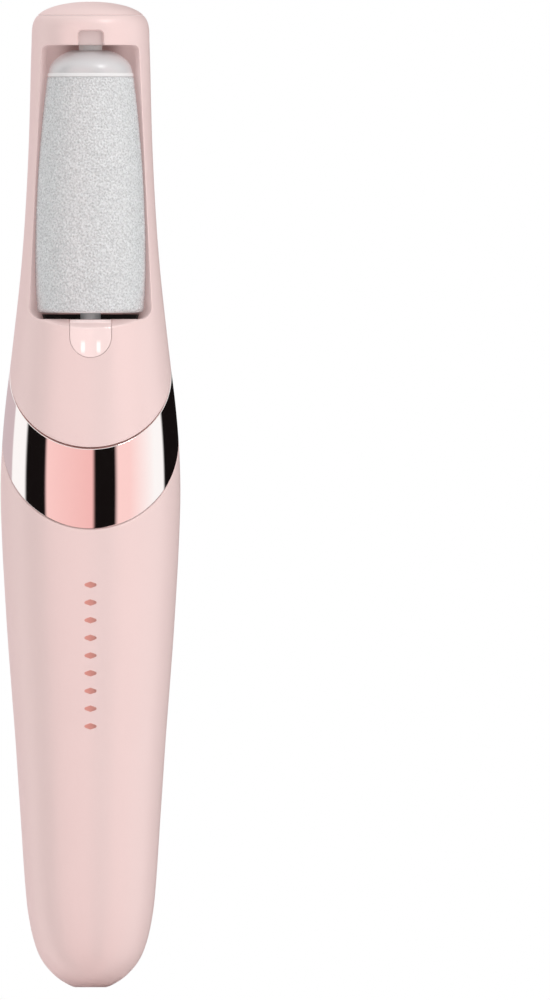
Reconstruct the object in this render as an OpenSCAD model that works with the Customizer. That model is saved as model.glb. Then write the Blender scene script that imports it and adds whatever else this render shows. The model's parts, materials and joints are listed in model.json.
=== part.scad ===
// Cordless electric callus remover: a wand with a spinning abrasive roller in
// an open bay at its tip. Z runs along the wand from the charging end to the
// tip, and the roller faces -Y. The origin is the centre of the charging end.

/* [Body] */
// Length from the charging end to the crown
total_len = 195; // [194:0.5:196]
// Largest diameter, at the top of the grip
max_d = 35.6; // [35.2:0.1:36.4]
// Wall of the grip shell
grip_wall = 1.8; // [1.5:0.1:2]
// Tilt of the metal band's lower edge
band_low_tilt = 46; // [44:1:47]
// Tilt of the metal band's upper edge
band_high_tilt = 43; // [41:1:44]

/* [Roller] */
// Distance of the roller's axis in front of the wand's axis
roller_forward = 4.5; // [4.3:0.1:4.6]
// Largest diameter of the abrasive sleeve
roller_d = 21.8; // [21.2:0.1:21.9]
// Diameter of the spring pin that carries the small end
tip_pin_d = 4.6; // [4:0.1:4.8]

/* [Drive] */
// Gear module
gear_m = 0.4; // [0.38:0.01:0.41]
// Teeth on the motor's pinion
pinion_teeth = 12; // [12:1:12]
// Teeth on the output gear
output_teeth = 30; // [30:1:30]
// Diameter of the lithium cell
cell_d = 14.2; // [14:0.1:14.5]
// Length of the lithium cell
cell_len = 50; // [48:1:50]

/* [Controls] */
// Travel of the switch knob from off, past low, to high
switch_travel = 6; // [4:0.5:6]
// Radius of the charging plug's recess
port_r = 2.9; // [2.7:0.1:3]

/* [Hidden] */
$fn = 72;
clear = 0.05;
seam = 0.12;
big = 130;

// ---- outline of the wand ----
// Stations up the side: [share of the length, share of the largest radius]
stations = [[0, 0.69], [0.0513, 0.676], [0.1026, 0.726], [0.2308, 0.82],
    [0.3846, 0.943], [0.5026, 1], [0.5744, 0.963], [0.6564, 0.858],
    [0.7436, 0.758], [0.8462, 0.692], [0.9692, 0.653], [1, 0.636]];
side = [for (s = stations) [s[0] * total_len, s[1] * max_d / 2]];
tail_h = 18;
tail_power = 2.85;
tail_flat_r = 3.5;
crown_h = 6.5;
crown_power = 3.35;

// ---- head and bay ----
roller_y = -roller_forward;
bay_floor_z = 132.2;
bay_roof_z = 186.4;
bay_roof_hw = 9.5;
bay_floor_hw = 12.15;
bay_wall = 1.6;
bay_side_y = -1.5;
floor_t = 2;
ramp_slope = 0.44;
ramp_y = -11;
crown_seam_z = 192.3;
crown_floor_z = 189.6;
crown_bore_r = 9.6;
head_wall = 2.85;
skin_t = 1.3;
spigot_drop = 4;
lens_hw = 4.1;
lens_bottom_z = 124.6;
notch_w = 5.1;
notch_top_z = 189.3;
notch_depth = 1.5;
bush_r = 3.2;

// ---- metal band ----
band_low_z = 108.8;
band_high_z = 123.1;

// ---- roller ----
roller_z0 = 133.4;
sleeve_z0 = 133.8;
sleeve_corner = 1.0;
sleeve_z1 = 180.1;
cap_h = 5.3;
core_r = 8;
plate_inset = 1.2;
stub_collar_r = 2.0;
core_bore_r = 6.2;
pin_r = tip_pin_d / 2;
pin_top_z = 188.9;
pin_flange_r = 3.1;
pin_shoulder_z = 181;
pin_flange_t = 1.2;
spring_seat_z = 168;
hex_flats = 3.4;
stub_len = 4.2;
// Stations along the sleeve: [height above the roller's end, radius less the largest]
sleeve_stations = [[0, -0.5], [4, -0.16], [9, 0.0], [14, 0.0], [21, -0.2],
    [28, -0.55], [33, -0.95], [39, -1.5], [46.7, -2.4]];
sleeve_side = [for (s = sleeve_stations) [roller_z0 + s[0], roller_d / 2 + s[1]]];

// ---- drive ----
centre_distance = gear_m * (pinion_teeth + output_teeth) / 2;
motor_y = roller_y + centre_distance;
pressure_angle = 20;
tooth_addendum = 0.8 * gear_m;
tooth_dedendum = 1.2 * gear_m;
backlash = 0.07;
gearbox_z = 112;
gearbox_plate_t = 1.8;
gearbox_top_z = 121.8;
gearbox_r = 12;
gearbox_wall = 0.8;
gear_z = 117.5;
gear_face = 3.4;
shaft_r = 1.5;
bush_od_r = 3;
boss_r = 4.4;
socket_r = 3.6;
socket_z0 = 126;
socket_z1 = 132;
upstand_r = 9.6;
upstand_h = 0.93;
upstand_open_y = 3;
motor_r = 10.2;
motor_flat = 7.7;
motor_len = 32;
motor_shaft_r = 1;
endcap_t = 2.6;
motor_z0 = gearbox_z - motor_len;
screw_spread = 7;

// ---- chassis, battery and board ----
cell_y = -3.4;
cell_z = 22;
spine_y = 4.4;
spine_t = 1.4;
spine_hw = 8;
board_y = 6.4;
board_t = 1.2;
board_hw = 6;
board_z0 = 26;
board_z1 = 75;
board_screw_z = [30, 72.6];
chassis_z0 = 17.5;
rib_t = 1.6;
tail_floor_z = 3.2;
port_depth = 2;
jack_z0 = 3.25;
jack_r = 3.4;
jack_bore_r = 1.85;
jack_pin_r = 0.6;

// ---- switch ----
switch_z = 64;
knob_w = 7;
knob_h = 8;
knob_slot_w = 3;
track_w = 8.4;
track_depth = 0.9;
indicator_z = 51.2;
indicator_y = 8.6;
indicator_r = 1;

// ---- decorative foil ----
foil_count = 9;
foil_z0 = 51.6;
foil_pitch = 3.5;
foil_w = 3.6;
foil_h = 1.3;
foil_t = 0.25;

// ==== curves ====

// Value at z of a smooth curve through the points p
function curve_at(p, z, i = 0) =
    i < len(p) - 2 && z > p[i + 1][0] ? curve_at(p, z, i + 1) : hermite(p, i, z);
function slope(p, i) =
    let (a = max(i - 1, 0), b = min(i + 1, len(p) - 1))
    (p[b][1] - p[a][1]) / (p[b][0] - p[a][0]);
function hermite(p, i, z) =
    let (h = p[i + 1][0] - p[i][0], t = (z - p[i][0]) / h, u = 1 - t)
    (1 + 2 * t) * u * u * p[i][1] + t * u * u * h * slope(p, i)
    + t * t * (3 - 2 * t) * p[i + 1][1] - t * t * u * h * slope(p, i + 1);

// Share of the radius left at t of the way through a rounded end
function end_round(t, power) =
    t >= 1 ? 1 : t <= 0 ? 0 : sqrt(1 - pow(1 - t, power));

// Radius of the wand's surface at height z, moved inward by inset
function body_r(z, inset = 0) =
    max(z < 1 ? tail_flat_r - inset : 0,
        (curve_at(side, z) - inset)
        * end_round((z - inset) / tail_h, tail_power)
        * end_round((total_len - inset - z) / crown_h, crown_power));

tail_steps = 16;
side_step = 2.4;
crown_steps = 12;
all_z = concat(
    [for (i = [0 : tail_steps]) tail_h * (1 - cos(90 * i / tail_steps))],
    [for (z = [tail_h + side_step : side_step : total_len - crown_h - 1]) z],
    [for (i = [0 : crown_steps])
        total_len - crown_h * (1 - sin(90 * i / crown_steps))]);
function inset_z(z, inset) = min(max(z, inset), total_len - inset);
function outline(z0, z1, inset) = concat([[0, z0]], [[body_r(z0, inset), z0]],
    [for (z = all_z) if (z > z0 + 0.02 && z < z1 - 0.02) [body_r(z, inset), z]],
    [[max(body_r(z1, inset), 0), z1]], [[0, z1]]);

// Solid of the wand between two heights, with its surface moved inward
module wand(inset = 0, z0 = 0, z1 = total_len) {
    low = inset_z(z0, inset);
    high = inset_z(z1, inset) - (z1 >= total_len - inset ? 0.001 : 0);
    rotate_extrude() polygon(outline(low, high, inset));
}

// Half space above (or below) a plane tilted about X, crossing the axis at z
module above(z, tilt) {
    translate([0, 0, z]) rotate([tilt, 0, 0])
        translate([-big, -big, 0]) cube([2 * big, 2 * big, 3 * big]);
}
module below(z, tilt) {
    translate([0, 0, z]) rotate([tilt, 0, 0])
        translate([-big, -big, -3 * big]) cube([2 * big, 2 * big, 3 * big]);
}

module at_roller() translate([0, roller_y, 0]) children();
module at_motor() translate([0, motor_y, 0]) children();
module rod(r, z0, z1) translate([0, 0, z0]) cylinder(r = r, h = z1 - z0);
module tube(ro, ri, z0, z1) difference() {
    rod(ro, z0, z1);
    rod(ri, z0 - 1, z1 + 1);
}
module block(size, z0) translate([-size[0] / 2, -size[1] / 2, z0]) cube(size);

// Outline with rounded corners, from points [x, y, corner radius]
function unit(v) = v / norm(v);
function rounded(points, steps = 6) = [for (i = [0 : len(points) - 1])
    let (n = len(points), c = points[i],
        p = [c[0], c[1]],
        a = points[(i + n - 1) % n], b = points[(i + 1) % n],
        u = unit([a[0], a[1]] - p), v = unit([b[0], b[1]] - p),
        half = acos(u * v) / 2,
        centre = p + unit(u + v) * c[2] / sin(half),
        s = p + u * c[2] / tan(half) - centre,
        turn = (u[0] * s[1] - u[1] * s[0] > 0 ? 1 : -1) * (180 - 2 * half))
    for (k = [0 : steps])
        let (t = turn * k / steps)
        centre + [s[0] * cos(t) - s[1] * sin(t), s[0] * sin(t) + s[1] * cos(t)]];

// Extrudes an X-Z outline along Y from y0 to y1
module front_cut(y0, y1) translate([0, y1, 0]) rotate([90, 0, 0])
    linear_extrude(y1 - y0) children();

// ==== grip ====

module track_solid() intersection() {
    difference() {
        wand(-1, 20, 100);
        wand(track_depth, 20, 100);
    }
    front_cut(0, big) polygon(rounded([
        for (s = [[-1, -1], [1, -1], [1, 1], [-1, 1]])
            [s[0] * track_w / 2, switch_z + s[1] * (knob_h + switch_travel + 3) / 2, 2]]));
}

module foil_solid(grow, inset) intersection() {
    difference() {
        wand(-0.02, foil_z0 - 4, foil_z0 + foil_count * foil_pitch);
        wand(inset, foil_z0 - 4, foil_z0 + foil_count * foil_pitch);
    }
    front_cut(-big, 0) for (i = [0 : foil_count - 1])
        translate([0, foil_z0 + i * foil_pitch]) polygon(rounded([
            [0, -foil_h / 2 - grow, 0.3], [foil_w / 2 + grow, 0, 0.3],
            [0, foil_h / 2 + grow, 0.3], [-foil_w / 2 - grow, 0, 0.3]], 3));
}

module grip_shell() color([0.93, 0.80, 0.78]) difference() {
    intersection() {
        wand();
        below(band_low_z, band_low_tilt);
    }
    difference() {
        wand(grip_wall, tail_floor_z, 140);
        tube(jack_r + 1, jack_r + clear, tail_floor_z - 1, jack_z0 + 6);
    }
    rod(port_r, -1, port_depth);
    rod(jack_bore_r + 0.1, 1, 4);
    track_solid();
    translate([0, 14, switch_z]) cube(
        [knob_slot_w + 0.4, 12, switch_travel + 3 + 0.4], center = true);
    front_cut(indicator_y, 20) translate([0, indicator_z]) circle(r = indicator_r);
    foil_solid(0.02, foil_t);
}

module foil_inlay() color([0.85, 0.60, 0.55]) foil_solid(0, foil_t - 0.01);

// ==== band and head ====

module trim_band() color([0.90, 0.62, 0.57]) intersection() {
    difference() {
        wand(0, 80, 150);
        wand(skin_t - 0.05, 79, 151);
    }
    above(band_low_z + seam, band_low_tilt);
    below(band_high_z - seam, band_high_tilt);
}

module bay_outline() polygon(rounded([
    [-bay_roof_hw, bay_roof_z, 1.1], [bay_roof_hw, bay_roof_z, 1.1],
    [bay_floor_hw, bay_floor_z, 2.2], [-bay_floor_hw, bay_floor_z, 2.2]]));

module bay() {
    front_cut(-big, bay_side_y) bay_outline();
    intersection() {
        front_cut(bay_side_y - 0.01, big) bay_outline();
        wand(bay_wall, 120, crown_floor_z);
    }
}

// Sloped lip between the bay's floor and the surface in front of it
module ramp() rotate([90, 0, 90]) translate([0, 0, -bay_floor_hw + 1])
    linear_extrude(2 * bay_floor_hw - 2) polygon([
        [ramp_y + 0.5, bay_floor_z], [ramp_y + 0.5, bay_floor_z + 1],
        [ramp_y - 8, bay_floor_z + 1],
        [ramp_y - 8, bay_floor_z - 8 * ramp_slope], [ramp_y, bay_floor_z]]);

function lens_outline(grow) = let (r = lens_hw + grow, zc = lens_bottom_z + lens_hw) concat(
    [[r, bay_floor_z + 1]], [for (a = [0 : -10 : -180]) [r * cos(a), zc + r * sin(a)]],
    [[-r, bay_floor_z + 1]]);

module lens_solid(grow, inset) intersection() {
    difference() {
        wand(-0.5, lens_bottom_z - 2, bay_floor_z + 2);
        wand(inset, lens_bottom_z - 3, bay_floor_z + 3);
    }
    front_cut(-big, -5) polygon(lens_outline(grow));
}

module notch() {
    y = -body_r(bay_roof_z);
    intersection() {
        front_cut(y - 2, y + 4) polygon(rounded([
            [-notch_w / 2, bay_roof_z - 2, 0.1], [notch_w / 2, bay_roof_z - 2, 0.1],
            [notch_w / 2, notch_top_z, 0.9], [-notch_w / 2, notch_top_z, 0.9]]));
        rotate([90, 0, 90]) translate([0, 0, -5]) linear_extrude(10) polygon([
            [y - 2, bay_roof_z - 1], [y + notch_depth + 0.7, bay_roof_z - 1],
            [y + notch_depth - 0.4, notch_top_z + 1], [y - 2, notch_top_z + 1]]);
    }
}

module head_shell() color([0.93, 0.80, 0.78]) difference() {
    union() {
        intersection() {
            wand(0, 100, crown_seam_z);
            above(band_high_z, band_high_tilt);
        }
        intersection() {
            wand(skin_t + 0.02, 80, 150);
            above(band_low_z + clear, band_low_tilt);
        }
        intersection() {
            wand(grip_wall + 0.08, 76, 140);
            above(band_low_z - spigot_drop, band_low_tilt);
        }
    }
    wand(head_wall, 70, bay_floor_z - floor_t);
    bay();
    ramp();
    lens_solid(0.03, 6);
    notch();
    at_roller() rod(bush_r, bay_roof_z - 1, crown_floor_z + 1);
    at_roller() rod(socket_r + 0.25, 125, bay_floor_z + 1);
    at_roller() rod(6.05, bay_floor_z - 1.1, bay_floor_z + 1);
    rod(crown_bore_r, crown_floor_z, crown_seam_z + 1);
}

module head_cap() color([0.93, 0.80, 0.78]) {
    wand(0, crown_seam_z + 0.03, total_len);
    tube(crown_bore_r - clear, crown_bore_r - 1.3, crown_floor_z + 0.75, crown_seam_z + 0.3);
}

module tip_bush() color([0.75, 0.75, 0.77]) at_roller() {
    tube(bush_r - 0.01, pin_r + clear, bay_roof_z + 0.1, crown_floor_z);
    tube(bush_r + 0.8, pin_r + clear, crown_floor_z, crown_floor_z + 0.6);
}

module light_lens() color([1.0, 0.86, 0.84, 0.8]) difference() {
    union() {
        intersection() {
            lens_solid(0, 1.9);
            wand(0, 120, bay_floor_z);
        }
        intersection() {
            front_cut(-15, -12.7) polygon(rounded([[-2, 125.6, 0.4], [2, 125.6, 0.4],
                [2, 129.6, 0.4], [-2, 129.6, 0.4]], 3));
            wand(1.5, 120, 133);
        }
    }
    ramp();
}

module light_board() color([0.1, 0.35, 0.2])
    translate([-3.5, -11.5, 125]) cube([7, 0.8, 4.9]);
module light_led() color([1, 0.95, 0.7])
    translate([-1.4, -12.3, 126.4]) cube([2.8, 0.78, 2.8]);

// ==== roller ====

function sleeve_r(z) = curve_at(sleeve_side, z);
module roller_sleeve() color([0.80, 0.80, 0.80]) at_roller() rotate_extrude() polygon(concat(
    [[core_r + 0.01, sleeve_z0], [sleeve_r(sleeve_z0) - sleeve_corner, sleeve_z0]],
    [for (a = [30 : 30 : 90]) [sleeve_r(sleeve_z0 + sleeve_corner) - sleeve_corner * (1 - sin(a)),
        sleeve_z0 + sleeve_corner * (1 - cos(a))]],
    [for (z = [sleeve_z0 + 2.4 : 2.4 : sleeve_z1 - 1]) [sleeve_r(z), z]],
    [[sleeve_r(sleeve_z1), sleeve_z1], [core_r + 0.01, sleeve_z1]]));

module hex_bar(flats, z0, z1) translate([0, 0, z0])
    cylinder(r = flats / sqrt(3), h = z1 - z0, $fn = 6);

module roller_core() color([0.78, 0.78, 0.78]) at_roller() {
    plate_r = sleeve_r(sleeve_z0) - plate_inset;
    rotate_extrude() polygon([[0, roller_z0], [plate_r - 0.2, roller_z0],
        [plate_r, roller_z0 + 0.2], [plate_r, sleeve_z0], [core_r, sleeve_z0],
        [core_r, sleeve_z1 - 0.1],
        [core_bore_r, sleeve_z1 - 0.1], [core_bore_r, roller_z0 + 2.4],
        [3.2, roller_z0 + 2.4], [3.2, spring_seat_z], [0, spring_seat_z]]);
    hex_bar(hex_flats, roller_z0 - stub_len, roller_z0 + 0.2);
    rod(stub_collar_r, bay_floor_z + 0.1, roller_z0 + 0.2);
}

module roller_cap() color([0.82, 0.82, 0.82]) at_roller() {
    base_r = sleeve_r(sleeve_z1);
    steps = 14;
    flat_r = 3.2;
    rotate_extrude() polygon(concat(
        [[pin_r + clear, sleeve_z1 + cap_h - 0.02], [flat_r, sleeve_z1 + cap_h]],
        [for (i = [1 : steps]) let (a = 90 * i / steps)
            [flat_r + (base_r - flat_r) * sin(a), sleeve_z1 + 0.25 + (cap_h - 0.25) * cos(a)]],
        [[base_r, sleeve_z1 + 0.02], [core_bore_r - clear, sleeve_z1 + 0.02],
         [core_bore_r - clear, sleeve_z1 - 5], [4.9, sleeve_z1 - 5],
         [4.9, sleeve_z1 - 1.2], [4.5, sleeve_z1 - 1.2], [4.5, spring_seat_z + 0.4],
         [pin_flange_r + 0.15, spring_seat_z + 0.4],
         [pin_flange_r + 0.15, pin_shoulder_z], [pin_r + clear, pin_shoulder_z]]));
}

module roller_pin() color([0.93, 0.93, 0.92]) at_roller() rotate_extrude() polygon([
    [0, pin_shoulder_z - pin_flange_t - 0.02], [pin_flange_r, pin_shoulder_z - pin_flange_t - 0.02],
    [pin_flange_r, pin_shoulder_z - 0.02], [pin_r, pin_shoulder_z - 0.02],
    [pin_r, pin_top_z - 0.5], [pin_r - 0.5, pin_top_z], [0, pin_top_z]]);

// Closed coil of round wire, swept along a helix
module coil(r, wire_r, z0, z1, turns, around = 6, per_turn = 16) {
    n = turns * per_turn;
    rise = z1 - z0 - 2 * wire_r;
    points = [for (i = [0 : n]) for (k = [0 : around - 1])
        let (a = 360 * i / per_turn, b = 360 * k / around, rr = r + wire_r * cos(b))
        [rr * cos(a), rr * sin(a), z0 + wire_r + rise * i / n + wire_r * sin(b)]];
    walls = [for (i = [0 : n - 1]) for (k = [0 : around - 1])
        let (a = i * around + k, b = i * around + (k + 1) % around)
        [a, b, b + around, a + around]];
    polyhedron(points, concat(walls, [[for (k = [around - 1 : -1 : 0]) k]],
        [[for (k = [0 : around - 1]) n * around + k]]), convexity = 10);
}
module roller_spring() color("silver") at_roller()
    coil(2.4, 0.3, spring_seat_z + 0.02, pin_shoulder_z - pin_flange_t - 0.04, 8);

// ==== drive ====

function involute_angle(a) = tan(a) * 180 / PI - a;
function flank_angle(r, base_r, half) = half + involute_angle(pressure_angle)
    - (r > base_r ? involute_angle(acos(base_r / r)) : 0);

// Spur gear centred on Z; its first tooth points along +X
module gear(teeth, face, z0) {
    r = gear_m * teeth / 2;
    base_r = r * cos(pressure_angle);
    root_r = r - tooth_dedendum;
    tip_r = r + tooth_addendum;
    low_r = max(base_r, root_r + 0.02);
    half = 90 / teeth - backlash / 2 / r * 90 / PI;
    steps = 4;
    radii = concat([root_r], [for (i = [0 : steps]) low_r + (tip_r - low_r) * i / steps]);
    points = [for (t = [0 : teeth - 1]) for (s = [-1, 1]) for (i = [0 : len(radii) - 1])
        let (k = s < 0 ? i : len(radii) - 1 - i, q = radii[k],
            a = 360 * t / teeth + s * flank_angle(q, base_r, half))
        [q * cos(a), q * sin(a)]];
    translate([0, 0, z0]) linear_extrude(face) polygon(points);
}

module output_gear() color([0.92, 0.90, 0.82]) at_roller() difference() {
    union() {
        rotate([0, 0, 90]) gear(output_teeth, gear_face, gear_z);
        rod(3, gear_z, gear_z + gear_face + 0.5);
    }
    rod(shaft_r + 0.005, gear_z - 1, gear_z + gear_face + 2);
}
module motor_pinion() color("goldenrod") at_motor() difference() {
    rotate([0, 0, -90 + 180 / pinion_teeth]) gear(pinion_teeth, gear_face + 0.4, gear_z - 0.2);
    rod(motor_shaft_r + 0.005, gear_z - 2, gear_z + gear_face + 2);
}
module output_shaft() color("silver") at_roller()
    rod(shaft_r, gearbox_z + 1.9, socket_z0 + 2);
module drive_socket() color([0.75, 0.75, 0.76]) at_roller() difference() {
    rod(socket_r, socket_z0, socket_z1);
    hex_bar(hex_flats + 0.12, socket_z0 + 2.8, socket_z1 + 1);
    rod(shaft_r + 0.005, socket_z0 - 1, socket_z0 + 2.01);
}
module output_bushes() color("peru") at_roller() {
    tube(bush_od_r - 0.01, shaft_r + 0.03, gearbox_z + 1.2, gearbox_z + 4.2);
    tube(bush_od_r - 0.01, shaft_r + 0.03, gearbox_top_z + 0.5, gearbox_top_z + 3.6);
}
// Rubber ring in the bay's floor, with a low upstand behind the drive stub
module dust_seal() color([0.06, 0.06, 0.06]) at_roller() {
    tube(6, socket_r + 0.04, bay_floor_z - 1.05, bay_floor_z - 0.05);
    difference() {
        union() {
            rod(5.9, bay_floor_z - 0.1, bay_floor_z + 0.1);
            translate([0, 0, bay_floor_z + 0.02])
                cylinder(r1 = upstand_r - 0.25, r2 = upstand_r, h = upstand_h);
        }
        rod(socket_r + 0.04, bay_floor_z - 1, bay_floor_z + 2);
        translate([-big, -big - upstand_open_y, 0]) cube([2 * big, big, 2 * big]);
    }
}

module gearbox_screw_places() for (a = [-10, 90, 190]) rotate([0, 0, a])
    translate([gearbox_r - 2.6, 0, 0]) children();

module gearbox_base() color([0.25, 0.25, 0.27]) difference() {
    union() {
        rod(gearbox_r, gearbox_z + 0.02, gearbox_z + gearbox_plate_t);
        tube(gearbox_r, gearbox_r - gearbox_wall, gearbox_z + 1, gearbox_top_z);
        at_roller() rod(boss_r, gearbox_z + 1, gearbox_z + 4.2);
        intersection() {
            rod(gearbox_r, gearbox_z + 1, gearbox_z + 4);
            gearbox_screw_places() rod(2, gearbox_z + 1, gearbox_z + 4);
        }
    }
    at_roller() rod(bush_od_r, gearbox_z + 1.2, gearbox_z + 6);
    at_motor() rod(3.15, gearbox_z - 1, gearbox_z + 6);
    for (s = [-1, 1]) at_motor() translate([s * screw_spread, 0, 0]) rod(0.85, gearbox_z - 1, gearbox_z + 6);
    gearbox_screw_places() rod(0.78, gearbox_z + 1.4, gearbox_z + 5);
}
module gearbox_cover() color([0.25, 0.25, 0.27]) difference() {
    union() {
        rod(gearbox_r, gearbox_top_z + 0.02, gearbox_top_z + 1.6);
        at_roller() rod(boss_r, gearbox_top_z + 0.02, gearbox_top_z + 3.6);
        intersection() {
            rod(gearbox_r - gearbox_wall - 0.05, gearbox_z, gearbox_top_z + 1);
            gearbox_screw_places() rod(1.6, gearbox_z + 4.05, gearbox_top_z + 1);
        }
    }
    at_roller() rod(bush_od_r, gearbox_top_z + 0.5, gearbox_top_z + 6);
    at_roller() rod(shaft_r + 0.3, gearbox_top_z - 1, gearbox_top_z + 6);
    gearbox_screw_places() rod(0.85, gearbox_z, gearbox_top_z + 5);
}
module screw(shank_r, head_r, head_t, z_head, len) {
    rod(shank_r, z_head - len, z_head + 0.01);
    difference() {
        rod(head_r, z_head, z_head + head_t);
        block([head_r * 1.3, 0.4, head_t], z_head + head_t - 0.35);
        block([0.4, head_r * 1.3, head_t], z_head + head_t - 0.35);
    }
}
module gearbox_screws() color("silver") gearbox_screw_places()
    screw(0.75, 1.4, 0.8, gearbox_top_z + 1.62, 9.5);
module motor_screws() color("silver") for (s = [-1, 1]) at_motor()
    translate([s * screw_spread, 0, 0]) screw(0.8, 1.5, 0.9, gearbox_z + gearbox_plate_t + 0.02, 3.4);

module motor_outline(r, flat) intersection() {
    circle(r = r);
    square([3 * r, 2 * flat], center = true);
}
module motor_slab(r, flat, z0, z1) at_motor() translate([0, 0, z0])
    linear_extrude(z1 - z0) motor_outline(r, flat);
module motor_can() color([0.72, 0.73, 0.75]) difference() {
    union() {
        motor_slab(motor_r, motor_flat, motor_z0, gearbox_z);
        at_motor() rod(3.1, gearbox_z - 0.1, gearbox_z + 1.6);
    }
    motor_slab(motor_r - 0.8, motor_flat - 0.8, motor_z0 - 1, gearbox_z - 1.2);
    at_motor() rod(motor_shaft_r + 0.03, motor_z0, gearbox_z + 3);
    for (s = [-1, 1]) at_motor() translate([s * screw_spread, 0, 0]) rod(0.82, gearbox_z - 3, gearbox_z + 1);
}
module motor_endcap() color([0.1, 0.1, 0.1]) difference() {
    union() {
        motor_slab(motor_r - 0.85, motor_flat - 0.85, motor_z0 - endcap_t, motor_z0 + 2);
        at_motor() rod(3, motor_z0 - endcap_t - 1.4, motor_z0);
    }
    at_motor() rod(motor_shaft_r + 0.03, motor_z0 - endcap_t - 0.6, motor_z0 + 3);
    for (s = [-1, 1]) at_motor() translate([s * 6, 0, 0])
        block([2.1, 0.6, 4], motor_z0 - endcap_t - 2);
}
module motor_shaft() color("silver") at_motor() {
    rod(motor_shaft_r, motor_z0 - endcap_t - 0.4, gear_z + gear_face + 0.4);
    rod(6.4, motor_z0 + 6, gearbox_z - 5);
}
module motor_terminals() color("gold") for (s = [-1, 1]) at_motor() translate([s * 6, 0, 0])
    difference() {
        block([2, 0.5, 4], motor_z0 - endcap_t - 2.2);
        translate([0, 0, motor_z0 - endcap_t - 1.2]) rotate([90, 0, 0])
            cylinder(r = 0.5, h = 2, center = true);
    }
module motor_damper() color([0.12, 0.12, 0.12]) difference() {
    motor_slab(motor_r + 1.1, motor_flat + 1.1, motor_z0 + 4, motor_z0 + 10);
    motor_slab(motor_r + 0.02, motor_flat + 0.02, motor_z0 + 3, motor_z0 + 11);
}

// ==== chassis and power ====

module chassis_rib(z) intersection() {
    wand(grip_wall + 0.3, z, z + rib_t);
    translate([-big, -big, z]) cube([2 * big, big + board_y - 1, rib_t]);
}
module chassis() color([0.88, 0.88, 0.86]) difference() {
    union() {
        translate([-spine_hw, spine_y, chassis_z0]) cube([spine_hw * 2, spine_t, 57.3]);
        for (z = board_screw_z) translate([0, board_y - clear, z]) rotate([90, 0, 0]) cylinder(r = 2, h = 1);
        chassis_rib(chassis_z0);
        chassis_rib(46);
        chassis_rib(73.2);
        for (s = [-1, 1]) translate([s * 12.4 - 1, 2, 74]) cube([2, 3, gearbox_z - 74]);
        tube(15.1, 11.4, gearbox_z - 4, gearbox_z - 0.05);
    }
    translate([0, cell_y, 0]) rod(cell_d / 2 + 0.15, cell_z - 0.5, cell_z + cell_len + 0.6);
    motor_slab(motor_r + 1.15, motor_flat + 1.15, 76, gearbox_z + 1);
    difference() {
        rod(40, 70, 120);
        wand(grip_wall + 1.5, 60, 130);
    }
    translate([-big, 9, gearbox_z - 5]) cube([2 * big, big, 10]);
    rod(1.4, chassis_z0 - 1, chassis_z0 + 1.7);
    for (z = board_screw_z) translate([0, spine_y - 1, z]) rotate([-90, 0, 0]) cylinder(r = 0.72, h = 5);
}
module cell_strap() color([0.85, 0.85, 0.84]) translate([0, cell_y, 0]) for (z = [34, 58])
    difference() {
        rod(cell_d / 2 + 0.9, z, z + 5);
        rod(cell_d / 2 + 0.12, z - 1, z + 6);
        translate([-big, spine_y - cell_y - 0.05, z - 1]) cube([2 * big, big, 8]);
    }
module battery_cell() color([0.25, 0.45, 0.75]) translate([0, cell_y, 0]) {
    rod(cell_d / 2, cell_z, cell_z + cell_len - 1);
    rod(3, cell_z + cell_len - 1.01, cell_z + cell_len);
}
module cell_tabs() color("silver") {
    translate([-2, cell_y - 2.5, cell_z + cell_len + 0.02]) cube([4, 5, 0.2]);
    translate([-2, cell_y - 2.5, cell_z - 0.25]) cube([4, 5, 0.2]);
}
module main_board() color([0.1, 0.4, 0.25]) difference() {
    translate([-board_hw, board_y, board_z0]) cube([2 * board_hw, board_t, board_z1 - board_z0]);
    for (z = board_screw_z) translate([0, board_y - 1, z]) rotate([-90, 0, 0]) cylinder(r = 1.05, h = 4);
}
module board_components() color([0.12, 0.12, 0.12]) {
    face = board_y + board_t + 0.01;
    translate([-2.5, face, 38]) cube([5, 1.4, 5]);
    translate([-4.6, face, 46]) cube([3, 1, 4]);
    translate([1.6, face, 46.5]) cube([3, 1.8, 3]);
    translate([-4, face, 33]) cube([2, 0.8, 1.3]);
    translate([2, face, 33]) cube([2, 0.8, 1.3]);
    translate([-1, face, indicator_z - 0.7]) cube([2, 0.9, 1.4]);
}
module chassis_screws() color("silver") for (z = board_screw_z)
    translate([0, board_y + board_t + 0.01, z]) rotate([-90, 0, 0]) screw(0.7, 1.5, 0.8, 0, 2.6);

module charge_jack() color([0.1, 0.1, 0.1]) difference() {
    rod(jack_r, jack_z0, 13);
    rod(jack_bore_r, jack_z0 - 1, 12);
    rod(jack_pin_r, 11, 14);
}
module jack_contact() color("gold") rod(jack_pin_r - 0.01, 5, 14.5);

// ==== switch ====

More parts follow.
